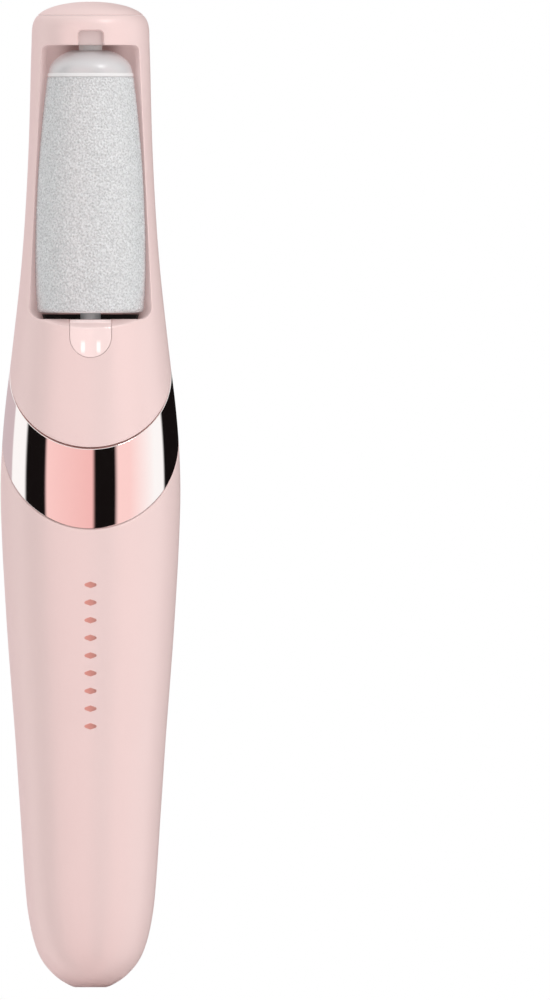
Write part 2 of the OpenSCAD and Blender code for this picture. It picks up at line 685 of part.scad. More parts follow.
switch_face = board_y + board_t + 0.01;
module switch_body() color([0.55, 0.56, 0.58]) difference() {
    translate([-3.5, switch_face, switch_z - 6.5]) cube([7, 3.6, 13]);
    translate([-0.9, switch_face + 0.6, switch_z - switch_travel / 2 - 1])
        cube([1.8, 4, switch_travel + 2]);
}
module switch_lever() color([0.08, 0.08, 0.08])
    translate([-0.8, switch_face + 0.7, switch_z - switch_travel / 2 - 0.9])
        cube([1.6, 5.2, 1.8]);
module switch_knob() color([0.90, 0.64, 0.59]) {
    zc = switch_z - switch_travel / 2;
    y_out = body_r(zc);
    difference() {
        intersection() {
            front_cut(y_out - track_depth - 1, y_out + 2) polygon(rounded([
                for (s = [[-1, -1], [1, -1], [1, 1], [-1, 1]])
                    [s[0] * knob_w / 2, zc + s[1] * knob_h / 2, 1.4]]));
            difference() {
                wand(-0.6, 50, 80);
                wand(track_depth - 0.3, 49, 81);
            }
        }
        for (i = [-1 : 1]) translate([0, y_out + 1.1, zc + i * 1.7]) rotate([0, 90, 0])
            cylinder(r = 0.6, h = 20, center = true, $fn = 24);
    }
    difference() {
        translate([-knob_slot_w / 2, switch_face + 4.4, zc - 1.5])
            cube([knob_slot_w, y_out - track_depth - switch_face - 3.9, 3]);
        translate([-0.85, switch_face, zc - 0.95]) cube([1.7, 6.1, 1.9]);
    }
}
module indicator_pipe() color([0.95, 0.95, 0.95, 0.7]) intersection() {
    front_cut(indicator_y, 20) translate([0, indicator_z]) circle(r = indicator_r - 0.03);
    wand(0.05, 40, 60);
}

// ==== wiring ====

lead_y = board_y + board_t + 0.5;

// Round lead through a list of points
module lead(r, points) for (i = [0 : len(points) - 2]) {
    a = points[i];
    d = points[i + 1] - a;
    translate(a) rotate([0, acos(d[2] / norm(d)), atan2(d[1], d[0])])
        cylinder(r = r, h = norm(d), $fn = 16);
    translate(points[i + 1]) sphere(r = 1.08 * r, $fn = 16);
}
module battery_leads() color("firebrick") {
    lead(0.4, [[5, lead_y, 28], [7.3, lead_y, 27], [8.8, 5.1, 25], [8.4, 0, 20.9],
        [2.2, cell_y, 21.2]]);
    lead(0.4, [[-5, lead_y, 70], [-7.4, lead_y, 71], [-9, 5, 71.6], [-8, 2, 72.6],
        [-2.2, cell_y, 72.7]]);
}
module motor_leads() color("black") for (s = [-1, 1])
    lead(0.4, [[s * 4, lead_y, 73], [s * 5.6, 8, 76], [s * 6, 4.65, 76]]);
module light_leads() color("white") for (s = [-1, 1])
    lead(0.35, [[s * 2.6, -10.2, 126.2], [s * 8.1, -9.1, 125.2], [s * 10.6, -6.6, 123.6],
        [s * 11.3, -6.8, 114]]);

grip_shell();
foil_inlay();
trim_band();
head_shell();
head_cap();
tip_bush();
light_lens();
light_board();
light_led();
roller_sleeve();
roller_core();
roller_cap();
roller_pin();
roller_spring();
drive_socket();
output_shaft();
output_gear();
output_bushes();
dust_seal();
gearbox_base();
gearbox_cover();
gearbox_screws();
motor_pinion();
motor_shaft();
motor_can();
motor_endcap();
motor_terminals();
motor_screws();
motor_damper();
chassis();
cell_strap();
battery_cell();
cell_tabs();
main_board();
board_components();
switch_body();
switch_lever();
switch_knob();
indicator_pipe();
charge_jack();
jack_contact();
battery_leads();
motor_leads();
light_leads();
chassis_screws();
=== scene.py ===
import json
import math

import bmesh
import bpy
import numpy as np
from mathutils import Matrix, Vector
from mathutils.bvhtree import BVHTree
from mathutils.geometry import delaunay_2d_cdt


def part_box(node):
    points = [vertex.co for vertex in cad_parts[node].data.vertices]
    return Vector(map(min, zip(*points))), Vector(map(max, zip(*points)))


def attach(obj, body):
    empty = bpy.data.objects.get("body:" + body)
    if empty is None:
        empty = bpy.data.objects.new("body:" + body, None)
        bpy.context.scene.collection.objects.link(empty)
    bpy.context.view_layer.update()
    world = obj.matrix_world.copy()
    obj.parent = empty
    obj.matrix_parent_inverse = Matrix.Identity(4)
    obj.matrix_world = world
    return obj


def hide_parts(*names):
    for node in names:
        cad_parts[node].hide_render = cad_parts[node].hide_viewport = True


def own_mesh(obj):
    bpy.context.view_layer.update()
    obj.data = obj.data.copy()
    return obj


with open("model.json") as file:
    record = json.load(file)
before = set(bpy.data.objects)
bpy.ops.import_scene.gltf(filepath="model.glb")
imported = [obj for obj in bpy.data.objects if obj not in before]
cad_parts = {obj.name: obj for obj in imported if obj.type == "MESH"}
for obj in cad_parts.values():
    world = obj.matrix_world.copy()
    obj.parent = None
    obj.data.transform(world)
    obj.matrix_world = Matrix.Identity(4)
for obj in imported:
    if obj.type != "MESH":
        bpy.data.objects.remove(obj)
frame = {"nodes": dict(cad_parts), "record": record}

# Looks for a cordless callus remover: a pink wand with a mirror band, a light
# lens and an abrasive roller in an open bay. Lengths are millimetres, except
# those of the surroundings at the end, which are metres.

MM = 0.001
nodes = frame["nodes"]
record = frame["record"]
joints = {j["name"]: j for j in record["behaviour"]["joints"]}

for stale in ("Cube", "Light", "Camera"):
    if stale in bpy.data.objects:
        bpy.data.objects.remove(bpy.data.objects[stale])
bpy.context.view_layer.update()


def box_mm(name):
    low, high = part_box(name)
    return [v / MM for v in low], [v / MM for v in high]


# ---- curves and outlines ----

def spline(points, count):
    """count points on a natural cubic spline through points."""
    p = np.array(points, float)
    s = np.concatenate([[0], np.cumsum(np.linalg.norm(np.diff(p, axis=0), axis=1))])
    n = len(p)
    h = np.diff(s)
    system = np.eye(n)
    right = np.zeros_like(p)
    for i in range(1, n - 1):
        system[i, i - 1:i + 2] = h[i - 1], 2 * (h[i - 1] + h[i]), h[i]
        right[i] = 3 * ((p[i + 1] - p[i]) / h[i] - (p[i] - p[i - 1]) / h[i - 1])
    c = np.linalg.solve(system, right)
    t = np.linspace(0, s[-1], count)
    k = np.clip(np.searchsorted(s, t, side="right") - 1, 0, n - 2)
    u = (t - s[k])[:, None]
    hk = h[k][:, None]
    b = (p[k + 1] - p[k]) / hk - hk * (2 * c[k] + c[k + 1]) / 3
    return p[k] + u * (b + u * (c[k] + u * (c[k + 1] - c[k]) / (3 * hk)))


def rounded(corners, steps):
    """Closed outline through [x, z, corner radius] corners."""
    out = []
    for i, (cx, cz, r) in enumerate(corners):
        p = np.array([cx, cz])
        a = np.array(corners[i - 1][:2]) - p
        b = np.array(corners[(i + 1) % len(corners)][:2]) - p
        u = a / np.linalg.norm(a)
        v = b / np.linalg.norm(b)
        half = math.acos(float(u @ v)) / 2
        centre = p + (u + v) / np.linalg.norm(u + v) * r / math.sin(half)
        first = p + u * r / math.tan(half) - centre
        sense = 1 if u[0] * first[1] - u[1] * first[0] > 0 else -1
        for k in range(steps + 1):
            t = sense * (math.pi - 2 * half) * k / steps
            turn = np.array([[math.cos(t), -math.sin(t)], [math.sin(t), math.cos(t)]])
            out.append(centre + turn @ first)
    return np.array(out)


def resample(loop, spacing):
    """Adds points to a closed loop so that no side is longer than spacing."""
    out = []
    for a, b in zip(loop, np.roll(loop, -1, axis=0)):
        n = max(1, math.ceil(np.linalg.norm(b - a) / spacing))
        out += [a + (b - a) * i / n for i in range(n)]
    return np.array(out)


def offset_loop(loop, distance):
    """Moves a counter-clockwise loop outward by distance."""
    tangent = np.roll(loop, -1, axis=0) - np.roll(loop, 1, axis=0)
    tangent /= np.linalg.norm(tangent, axis=1)[:, None]
    return loop + distance * np.stack([tangent[:, 1], -tangent[:, 0]], 1)


def inside(loop, points):
    """True for each point inside the closed loop."""
    x, z = points[:, 0], points[:, 1]
    hit = np.zeros(len(points), bool)
    for a, b in zip(loop, np.roll(loop, -1, axis=0)):
        crosses = (a[1] > z) != (b[1] > z)
        rise = b[1] - a[1] if b[1] != a[1] else 1e-12
        hit ^= crosses & (x < a[0] + (b[0] - a[0]) * (z - a[1]) / rise)
    return hit


def smooth_step(t):
    t = np.clip(t, 0, 1)
    return t * t * (3 - 2 * t)


def smooth_max(a, b, k):
    """The larger of a and b, blended where they differ by less than k."""
    h = np.clip(0.5 + 0.5 * (a - b) / k, 0, 1)
    return b * (1 - h) + a * h + k * h * (1 - h)


def rounded_box_distance(x, z, half_x, half_z, r):
    """Signed distance to a rounded rectangle centred on 0."""
    qx = np.abs(x) - half_x + r
    qz = np.abs(z) - half_z + r
    outer = np.hypot(np.maximum(qx, 0), np.maximum(qz, 0))
    return outer + np.minimum(np.maximum(qx, qz), 0) - r


# ---- the wand's outline, measured on the CAD shells ----

def shell_tree():
    verts, polys = [], []
    for name in ("grip_shell", "trim_band", "head_shell", "head_cap"):
        mesh = nodes[name].data
        base = len(verts)
        verts += [tuple(v.co) for v in mesh.vertices]
        polys += [[base + i for i in p.vertices] for p in mesh.polygons]
    return BVHTree.FromPolygons(verts, polys)


TOP = box_mm("head_cap")[1][2]
SEAM_CAP = box_mm("head_shell")[1][2]
TAIL_H, CROWN_H = 18, 6.5
shells = shell_tree()


def ray_radius(z):
    hit = shells.ray_cast((-0.1, 0, z * MM), (1, 0, 0))[0]
    return -hit[0] / MM if hit else 0


def outline_points():
    """[radius, z] points of the whole outline from the charging end to the crown."""
    seam_gap = 0.3
    tail = [TAIL_H * (1 - math.cos(math.radians(90 * i / 16))) for i in range(3, 16)]
    side = list(np.linspace(TAIL_H, TOP - CROWN_H - seam_gap, 35))
    crown = [TOP - CROWN_H * (1 - math.sin(math.radians(90 * i / 12))) for i in range(1, 12)]
    points = []
    for z in tail + side + crown:
        near = min(ray_radius(z - seam_gap), ray_radius(z + seam_gap))
        points.append([max(ray_radius(z), near if z < TOP - CROWN_H else 0), z])
    r0, z0 = points[0]
    foot = [[r0 * math.sqrt(t), z0 * t] for t in (0.2, 0.4, 0.6, 0.8)]
    mirrored = [[-r, z] for r, z in points[-4:]]
    return np.array(foot + points + [[0, TOP]] + mirrored[::-1])


curve = spline(outline_points(), 8000)
curve = curve[:np.argmax(curve[:, 0] <= 0)]


def side_radius(z):
    return np.interp(z, curve[:, 1], curve[:, 0])


# The charging end, rounded from the flat round the port up into the side
TAIL_Z = 3.0
TAIL_END = [[3.05, 0], [3.5, 0.12], [3.95, 0.3], [4.45, 0.55], [5.2, 0.97], [5.82, 1.35],
            [6.42, 1.78], [6.93, 2.2], [7.36, 2.6]]
tail_curve = spline(TAIL_END + [[float(side_radius(z)), z] for z in (TAIL_Z, 3.4, 3.8, 4.2)], 900)


def radius(z):
    """The wand's outside radius at height z."""
    end = np.interp(z, tail_curve[:, 1], tail_curve[:, 0])
    return np.where(np.asarray(z) < TAIL_Z, end, side_radius(z))


def wand_back(x, z):
    """The outline's y behind the axis."""
    return np.sqrt(np.maximum(radius(z) ** 2 - x * x, 0))


def wand_front(x, z):
    return -wand_back(x, z)


# ---- mesh building ----

def add_object(name, data):
    piece = bpy.data.objects.new(name, data)
    bpy.context.scene.collection.objects.link(piece)
    return piece


def build(name, verts, faces, body, slot, stands_for=None, sharp=40, merge=2e-7):
    """Makes a piece that rides on a body, has its slot's finish and stands for a CAD node."""
    mesh = bpy.data.meshes.new(name)
    mesh.from_pydata((np.asarray(verts) * MM).tolist(), [], [list(f) for f in faces])
    work = bmesh.new()
    work.from_mesh(mesh)
    bmesh.ops.remove_doubles(work, verts=work.verts, dist=merge)
    bmesh.ops.dissolve_degenerate(work, edges=work.edges, dist=merge / 4)
    bmesh.ops.recalc_face_normals(work, faces=work.faces)
    work.to_mesh(mesh)
    work.free()
    mesh.shade_smooth()
    mesh.set_sharp_from_angle(angle=math.radians(sharp))
    piece = add_object(name, mesh)
    mesh.materials.append(FINISH[slot])
    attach(piece, body)
    if stands_for:
        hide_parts(stands_for)
    return piece


def full_turn(count):
    """Evenly spaced angles round a circle."""
    return np.linspace(0, 2 * math.pi, count, endpoint=False)


def grid_faces(rows, cols, close_rows=False):
    """Quads of a grid whose columns run round in a ring."""
    faces = []
    for i in range(rows if close_rows else rows - 1):
        a = i * cols
        b = (i + 1) % rows * cols
        for j in range(cols):
            k = (j + 1) % cols
            faces.append((a + j, a + k, b + k, b + j))
    return faces


def lathe(profile, cols, centre_y=0, closed=False):
    """Rings and faces of a solid of revolution from [radius, z] points."""
    p = np.asarray(profile, float)
    a = full_turn(cols)
    x = p[:, :1] * np.cos(a)
    y = p[:, :1] * np.sin(a) + centre_y
    z = np.repeat(p[:, 1:], cols, axis=1)
    verts = np.stack([x, y, z], -1).reshape(-1, 3)
    return verts, grid_faces(len(p), cols, closed)


def seam_height(plane_z, tilt, angle, inset=0):
    """Height where a surface inset from the outline meets a plane tilted about X."""
    z = np.full_like(angle, plane_z)
    for _ in range(25):
        z = plane_z + math.tan(math.radians(tilt)) * (radius(z) - inset) * np.cos(angle)
    return z


def seam_faces(name, sign):
    """(height on the axis, tilt, area) of the faces of a node that lean like a seam."""
    found = []
    for face in nodes[name].data.polygons:
        n, c = face.normal * sign, face.center / MM
        if abs(n.x) < 0.002 and 0.55 < n.z < 0.85 and face.area > 1e-9:
            tilt = math.atan2(-n.y, n.z)
            found.append((c.z - math.tan(tilt) * c.y, tilt, face.area))
    return found


def tilted_plane(name, sign):
    """(height on the axis, tilt in degrees) of a node's highest tilted end face."""
    found = seam_faces(name, sign)
    top = max(f[0] for f in found)
    near = [f for f in found if f[0] > top - 0.3]
    area = sum(f[2] for f in near)
    height = sum(f[0] * f[2] for f in near) / area
    return height, math.degrees(sum(f[1] * f[2] for f in near) / area)


# ---- grip ----

WALL, SEAM_GAP = 1.8, 0.24
PORT_R, PORT_DEPTH, BORE_R, FLOOR_Z, FLOOR_R = 2.9, 2.0, 1.95, 3.2, 4.4
TRACK_HALF_W, TRACK_DEPTH, TRACK_CORNER, TRACK_EXTRA = 4.2, 0.9, 2.0, 3.0
SLOT_HALF_W, SLOT_EXTRA = 1.7, 3.4
PATCH_HALF_W = 6.0
knob_low, knob_high = box_mm("switch_knob")
travel = joints["switch_slide"]["range_m"][1] / MM
track_z = (knob_low[2] + knob_high[2] + travel) / 2
track_half = (knob_high[2] - knob_low[2] + travel + TRACK_EXTRA) / 2
slot_half = (travel + SLOT_EXTRA) / 2


def joined(*stretches):
    """One ascending list from stretches that share their end values."""
    return np.concatenate([s if i == 0 else s[1:] for i, s in enumerate(stretches)])


patch_x = joined(np.linspace(-PATCH_HALF_W, -SLOT_HALF_W, 23),
                 np.linspace(-SLOT_HALF_W, SLOT_HALF_W, 13),
                 np.linspace(SLOT_HALF_W, PATCH_HALF_W, 23))


def grip_angles(z):
    """Angles from the back round the wand, with upright columns beside the switch."""
    far = 150
    r = radius(np.clip(z, track_z - track_half, track_z + track_half))
    near = np.arcsin(patch_x / r)
    rest = np.linspace(near[-1], 2 * math.pi + near[0], far + 2)[1:-1]
    return np.concatenate([near, rest])


def flat_ring(angle, r, z):
    return np.stack([r * np.sin(angle), r * np.cos(angle), z + 0 * angle], 1)


def ring_at(angle, z, inset):
    """A ring a little inside the outline, at one height or one for each angle."""
    return flat_ring(angle, radius(z) - inset, z)


def rim_ring(angle, plane, inset, back=0):
    """A ring on a tilted plane, a little inside the outline and behind the plane."""
    z = seam_height(plane[0], plane[1], angle, inset)
    return flat_ring(angle, radius(z) - inset, z - back)


def track_depth(angle, z):
    x = radius(z) * np.sin(angle)
    d = rounded_box_distance(x, z - track_z, TRACK_HALF_W, track_half, TRACK_CORNER)
    return TRACK_DEPTH * smooth_step((0.12 - d) / 0.32) * (np.cos(angle) > 0)


def paint_seam_shade(piece, plane):
    """Painted shade: black on the end face that the seam's gap leaves in view, so the gap looks
    dark.
    """
    piece.data.materials.append(FINISH["rubber_black"])
    slope = math.tan(math.radians(plane[1]))
    for face in piece.data.polygons:
        x, y, z = face.center / MM
        on_plane = abs(z + slope * y - plane[0] + SEAM_GAP) < 0.004
        if on_plane and math.hypot(x, y) < radius(z) - 0.05:
            face.material_index = 1


def grip():
    plane = tilted_plane("grip_shell", 1)
    straight_top, edge_h = 84, 0.18
    lower, upper = track_z - track_half - 1, track_z + track_half + 1
    slot_low, slot_high = track_z - slot_half, track_z + slot_half
    tail = [TAIL_H * (1 - math.cos(math.radians(a))) for a in range(2, 90, 3)]
    level = joined(np.array(tail), np.linspace(tail[-1], lower, 12),
                   np.linspace(lower, slot_low, 24), np.linspace(slot_low, slot_high, 40),
                   np.linspace(slot_high, upper, 24), np.linspace(upper, straight_top, 6))
    outer, inner = [], []
    for z in level:
        a = grip_angles(z)
        outer.append(ring_at(a, z, track_depth(a, z)))
        inner.append(ring_at(a, z, WALL))
    a = grip_angles(straight_top)
    edge = seam_height(plane[0], plane[1], a)
    for t in np.linspace(0, 1, 40)[1:]:
        zz = straight_top + (edge - edge_h - SEAM_GAP - straight_top) * t
        outer.append(ring_at(a, zz, 0))
        inner.append(ring_at(a, zz, WALL))
    rim = [rim_ring(a, plane, inset, SEAM_GAP + back)
           for inset, back in ((0.02, 0.07), (0.06, 0.015), (0.12, 0), (WALL, 0))]
    first = int(np.argmax(level > 6))
    a = grip_angles(0)
    floor = [flat_ring(a, FLOOR_R + 2, FLOOR_Z + 0.7), flat_ring(a, FLOOR_R, FLOOR_Z),
             flat_ring(a, BORE_R, FLOOR_Z), flat_ring(a, BORE_R, PORT_DEPTH),
             flat_ring(a, PORT_R, PORT_DEPTH), flat_ring(a, PORT_R, 0.15),
             flat_ring(a, PORT_R + 0.1, 0), flat_ring(a, radius(0) - 0.03, 0)]
    rings = outer + rim + inner[first:][::-1] + floor
    cols = len(a)
    faces = grid_faces(len(rings), cols, close_rows=True)
    i0, i1 = (int(np.searchsorted(level, z - 1e-6)) for z in (slot_low, slot_high))
    j0, j1 = (int(np.argmin(abs(patch_x - x))) for x in (-SLOT_HALF_W, SLOT_HALF_W))

    def inner_row(i):
        return len(outer) + len(rim) + len(outer) - 1 - i

    gone = {(i, j) for i in range(i0, i1) for j in range(j0, j1)}
    gone |= {(inner_row(i + 1), j) for i in range(i0, i1) for j in range(j0, j1)}
    faces = [f for n, f in enumerate(faces) if divmod(n, cols) not in gone]
    border = [((i, j), (i, j + 1)) for i in (i0, i1) for j in range(j0, j1)]
    border += [((i, j), (i + 1, j)) for j in (j0, j1) for i in range(i0, i1)]
    for (i, j), (k, m) in border:
        faces.append((i * cols + j, k * cols + m,
                      inner_row(k) * cols + m, inner_row(i) * cols + j))
    piece = build("grip_skin", np.concatenate(rings), faces, "wand", "shell", "grip_shell")
    paint_seam_shade(piece, plane)


# ---- mirror band ----

def band():
    high = tilted_plane("trim_band", 1)
    heights = [f[0] for f in seam_faces("trim_band", -1)]
    low = (float(np.median(heights)), tilted_plane("trim_band", -1)[1])
    cols, rows, thick, edge, edge_top = 360, 40, 1.2, 0.16, 0.05
    a = full_turn(cols)
    z0 = seam_height(low[0], low[1], a) + edge
    z1 = seam_height(high[0], high[1], a) - edge_top - SEAM_GAP
    steps = [0, 0.002, *np.linspace(0.02, 0.98, rows), 0.998, 1]
    outer = [ring_at(a, z0 + (z1 - z0) * t, 0) for t in steps]
    top = [rim_ring(a, high, inset, SEAM_GAP + back)
           for inset, back in ((0.005, 0.02), (0.025, 0.004), (0.05, 0), (thick, 0))]
    bottom = [rim_ring(a, low, thick), rim_ring(a, low, edge + 0.02),
              rim_ring(a, low, 0.09, -0.02), rim_ring(a, low, 0.03, -0.07)]
    rings = outer + top + bottom
    faces = grid_faces(len(rings), cols, close_rows=True)
    piece = build("band_skin", np.concatenate(rings), faces, "wand", "rose_mirror", "trim_band")
    paint_seam_shade(piece, high)


# ---- crown ----

def crown():
    seam, cols, disc_r = 0.05, 220, 8.4
    z0 = SEAM_CAP + seam
    top = curve[(curve[:, 1] > z0 + EDGE) & (curve[:, 0] > 0.02)]
    keep = top[np.linspace(0, len(top) - 1, 44).astype(int)]
    r0 = radius(z0)
    profile = [[disc_r, z0], [r0 - 0.2, z0], [r0 - 0.08, z0 + 0.02], [r0 - 0.01, z0 + 0.08]]
    verts, faces = lathe(profile + keep.tolist(), cols)
    verts = np.concatenate([verts, [[0, 0, TOP]]])
    tip, last = len(verts) - 1, (len(profile) + len(keep) - 1) * cols
    faces += [(last + j, last + (j + 1) % cols, tip) for j in range(cols)]
    faces.append(tuple(range(cols)))
    build("crown_skin", verts, faces, "wand", "shell", "head_cap")


# ---- head ----

BAY_FLOOR_Z = box_mm("drive_socket")[1][2] + 0.2
BAY_ROOF_Z = box_mm("tip_bush")[0][2] - 0.1
FLOOR_HALF_W, FLOOR_CORNER = 12.15, 2.2
ROOF_HALF_W, ROOF_CORNER = 9.5, 1.1
BAY_WALL, SIDE_Y = 1.6, -1.5
RAMP_Y, RAMP_SLOPE, RAMP_HALF_W = -11.0, 0.44, 11.4
NOTCH_HALF_W, NOTCH_TOP, NOTCH_DEPTH, NOTCH_SLOPE, NOTCH_CORNER = 2.55, 189.35, 1.5, 0.13, 0.9
LENS_R, LENS_DEPTH = 4.1, 2.0
LENS_MID_Z = box_mm("light_lens")[0][2] + LENS_R
FILLET, BAY_DRAFT = 0.34, 0.85
STUB_HOLE_R, PIN_HOLE_R, HOLE_SIDES = 3.9, 3.2, 72
roller_low, roller_high = box_mm("roller_sleeve")
ROLLER_Y = (roller_low[1] + roller_high[1]) / 2
EDGE = 0.16


def bay_half_width(z):
    t = (z - BAY_FLOOR_Z) / (BAY_ROOF_Z - BAY_FLOOR_Z)
    return FLOOR_HALF_W + (ROOF_HALF_W - FLOOR_HALF_W) * t


def bay_loop():
    """The bay's outline from the floor's middle, and where its half, floor and roof end."""
    floor_n, roof_n = 40, 34
    corners = [[-FLOOR_HALF_W, BAY_FLOOR_Z, FLOOR_CORNER],
               [FLOOR_HALF_W, BAY_FLOOR_Z, FLOOR_CORNER],
               [ROOF_HALF_W, BAY_ROOF_Z, ROOF_CORNER],
               [-ROOF_HALF_W, BAY_ROOF_Z, ROOF_CORNER]]
    arcs = rounded(corners, 10)
    right_floor, right_roof = arcs[11:22], arcs[22:33]
    floor = np.linspace([0, BAY_FLOOR_Z], [right_floor[0][0], BAY_FLOOR_Z], floor_n)
    side = np.linspace(right_floor[-1], right_roof[0], 110)
    roof = np.linspace([right_roof[-1][0], BAY_ROOF_Z], [0, BAY_ROOF_Z], roof_n)
    half = np.concatenate([floor, right_floor[1:], side[1:-1], right_roof, roof[1:]])
    left = half[1:-1][::-1] * [-1, 1]
    return np.concatenate([half, left]), len(half), floor_n - 1, len(half) - roof_n


def lens_distance(x, z):
    """Signed distance to the lens outline."""
    below = np.hypot(x, z - LENS_MID_Z)
    return np.where(z < LENS_MID_Z, below, np.abs(x)) - LENS_R


def notch_distance(x, z):
    """Signed distance to the outline of the notch over the pin."""
    foot = BAY_ROOF_Z - 3
    return rounded_box_distance(x, z - (NOTCH_TOP + foot) / 2, NOTCH_HALF_W,
                                (NOTCH_TOP - foot) / 2, NOTCH_CORNER)


def ramped_y(x, z):
    """The head's front surface, with the sloped lip under the bay."""
    y = wand_front(x, z)
    ramp = RAMP_Y - (BAY_FLOOR_Z - z) / RAMP_SLOPE
    lip = (z <= BAY_FLOOR_Z + 0.01) & (np.abs(x) < RAMP_HALF_W)
    return np.where(lip, smooth_max(y, ramp, 0.3), y)


def front_y(x, z):
    """The head's front surface with the lip, the notch over the pin and the lens recess."""
    y = ramped_y(x, z)
    deep = -radius(BAY_ROOF_Z) + NOTCH_DEPTH - NOTCH_SLOPE * (z - BAY_ROOF_Z)
    y = y + (np.maximum(deep, y) - y) * smooth_step((0.16 - notch_distance(x, z)) / 0.4)
    recess = np.interp(-lens_distance(x, z), [-0.08, -0.05, -0.035, -0.02],
                       [0, 0.02, 0.12, LENS_DEPTH])
    return y + np.where(z < BAY_FLOOR_Z + 0.5, recess, 0)


def ring_points(distance_of, offsets, box, spacing):
    """Points on lines at set distances from a shape, traced on a fine grid."""
    x = np.arange(box[0], box[1], spacing)
    z = np.arange(box[2], box[3], spacing)
    gx, gz = [g.ravel() for g in np.meshgrid(x, z)]
    out = []
    for offset in offsets:
        px, pz = gx.copy(), gz.copy()
        keep = np.abs(distance_of(px, pz) - offset) < spacing * 0.75
        px, pz = px[keep], pz[keep]
        for _ in range(6):
            d = distance_of(px, pz) - offset
            ex = (distance_of(px + 1e-3, pz) - distance_of(px - 1e-3, pz)) / 2e-3
            ez = (distance_of(px, pz + 1e-3) - distance_of(px, pz - 1e-3)) / 2e-3
            px, pz = px - d * ex, pz - d * ez
        out.append(thinned(np.stack([px, pz], 1), spacing * 0.8))
    return np.concatenate(out)


def thinned(points, gap):
    """Drops points closer than gap to one already kept."""
    kept, cells = [], {}
    for p in points:
        key = (int(p[0] // gap), int(p[1] // gap))
        near = [q for i in (-1, 0, 1) for j in (-1, 0, 1)
                for q in cells.get((key[0] + i, key[1] + j), ())]
        if all(math.hypot(p[0] - q[0], p[1] - q[1]) >= gap for q in near):
            kept.append(p)
            cells.setdefault(key, []).append(p)
    return np.array(kept)


class Sheet:
    """Flat coordinates for the head's skin: round the wand, and up from the tilted seam."""
    ROUND, TALL, COLS, ROWS = 13.0, 75.0, 220, 120

    def __init__(self, plane):
        self.angle = np.linspace(-math.pi, math.pi, 2001)
        self.low = seam_height(plane[0], plane[1], math.pi - self.angle) + EDGE
        self.high = SEAM_CAP - EDGE

    def flat(self, x, z):
        a = np.arcsin(x / radius(z))
        low = np.interp(a, self.angle, self.low)
        return np.stack([a * self.ROUND, (z - low) / (self.high - low) * self.TALL], 1)

    def solid(self, uw):
        a, v = uw[:, 0] / self.ROUND, uw[:, 1] / self.TALL
        low = np.interp(a, self.angle, self.low)
        z = low + (self.high - low) * v
        r = radius(z)
        x = r * np.sin(a)
        y = np.where(np.abs(a) < math.pi / 2 - 0.05, front_y(x, z), -r * np.cos(a))
        return np.stack([x, y, z], 1)

    def grid(self):
        u = np.linspace(-math.pi, math.pi, self.COLS + 1) * self.ROUND
        w = np.linspace(0, self.TALL, self.ROWS + 1)
        gu, gw = np.meshgrid(u, w)
        return np.stack([gu.ravel(), gw.ravel()], 1)


def triangulate(points, loops):
    """Triangles over flat points, with each loop's sides kept as edges."""
    base, edges, verts = 0, [], []
    for loop in loops:
        n = len(loop)
        edges += [(base + i, base + (i + 1) % n) for i in range(n)]
        verts += [tuple(p) for p in loop]
        base += n
    verts += [tuple(p) for p in points]
    flat, _, faces, _, _, _ = delaunay_2d_cdt(verts, edges, [], 0, 1e-7)
    return np.array([tuple(p) for p in flat]), np.array([list(f) for f in faces])


def head_skin(sheet, rim):
    """The outer skin with the bay's opening left out."""
    keep_off = sheet.flat(*offset_loop(rim, 0.22).T)
    opening = sheet.flat(*rim.T)
    grid = sheet.grid()
    dense = [(LENS_R + 0.9, LENS_MID_Z - LENS_R - 0.9, BAY_FLOOR_Z - 0.4),
             (NOTCH_HALF_W + 0.8, BAY_ROOF_Z + 0.4, NOTCH_TOP + 0.8),
             (RAMP_HALF_W - 1, BAY_FLOOR_Z - 4.2, BAY_FLOOR_Z - 0.4)]
    points = grid[~inside(keep_off, grid)]
    where = sheet.solid(points)
    for half_w, z0, z1 in dense:
        drop = (np.abs(where[:, 0]) < half_w) & (where[:, 2] > z0) & (where[:, 2] < z1)
        drop &= where[:, 1] < 0
        points, where = points[~drop], where[~drop]
    fine = []
    for (half_w, z0, z1), step in zip(dense, (0.3, 0.2, 0.3)):
        across = np.arange(-half_w, half_w + 0.01, step)
        gx, gz = np.meshgrid(across, np.arange(z0, z1 + 0.01, step))
        fine.append(np.stack([gx.ravel(), gz.ravel()], 1))
    fine[2] = fine[2][np.abs(fine[2][:, 0]) > dense[0][0] + 0.1]
    fine = np.concatenate(fine)
    near_lens = lens_distance(fine[:, 0], fine[:, 1])
    near_notch = notch_distance(fine[:, 0], fine[:, 1])
    clear_lens = (near_lens < -0.16) | (near_lens > 0.3)
    fine = fine[clear_lens & ((near_notch < -0.35) | (near_notch > 0.3))]
    lens_box = (-LENS_R - 1, LENS_R + 1, LENS_MID_Z - LENS_R - 1, BAY_FLOOR_Z - 0.36)
    notch_box = (-NOTCH_HALF_W - 1, NOTCH_HALF_W + 1, BAY_ROOF_Z + 0.36, NOTCH_TOP + 1)
    rings = [ring_points(lens_distance, (0.02, 0.035, 0.05, 0.08), lens_box, 0.2),
             ring_points(notch_distance, (-0.24, -0.14, -0.04, 0.06, 0.16), notch_box, 0.15)]
    extra = np.concatenate([fine] + rings)
    extra = extra[(extra[:, 1] < BAY_FLOOR_Z - 0.36) | (extra[:, 1] > BAY_ROOF_Z + 0.36)]
    points = np.concatenate([points, sheet.flat(*extra.T)])
    flat, faces = triangulate(points, [opening])
    middle = flat[faces].mean(axis=1)
    faces = faces[~inside(opening, middle)]
    return sheet.solid(flat), faces


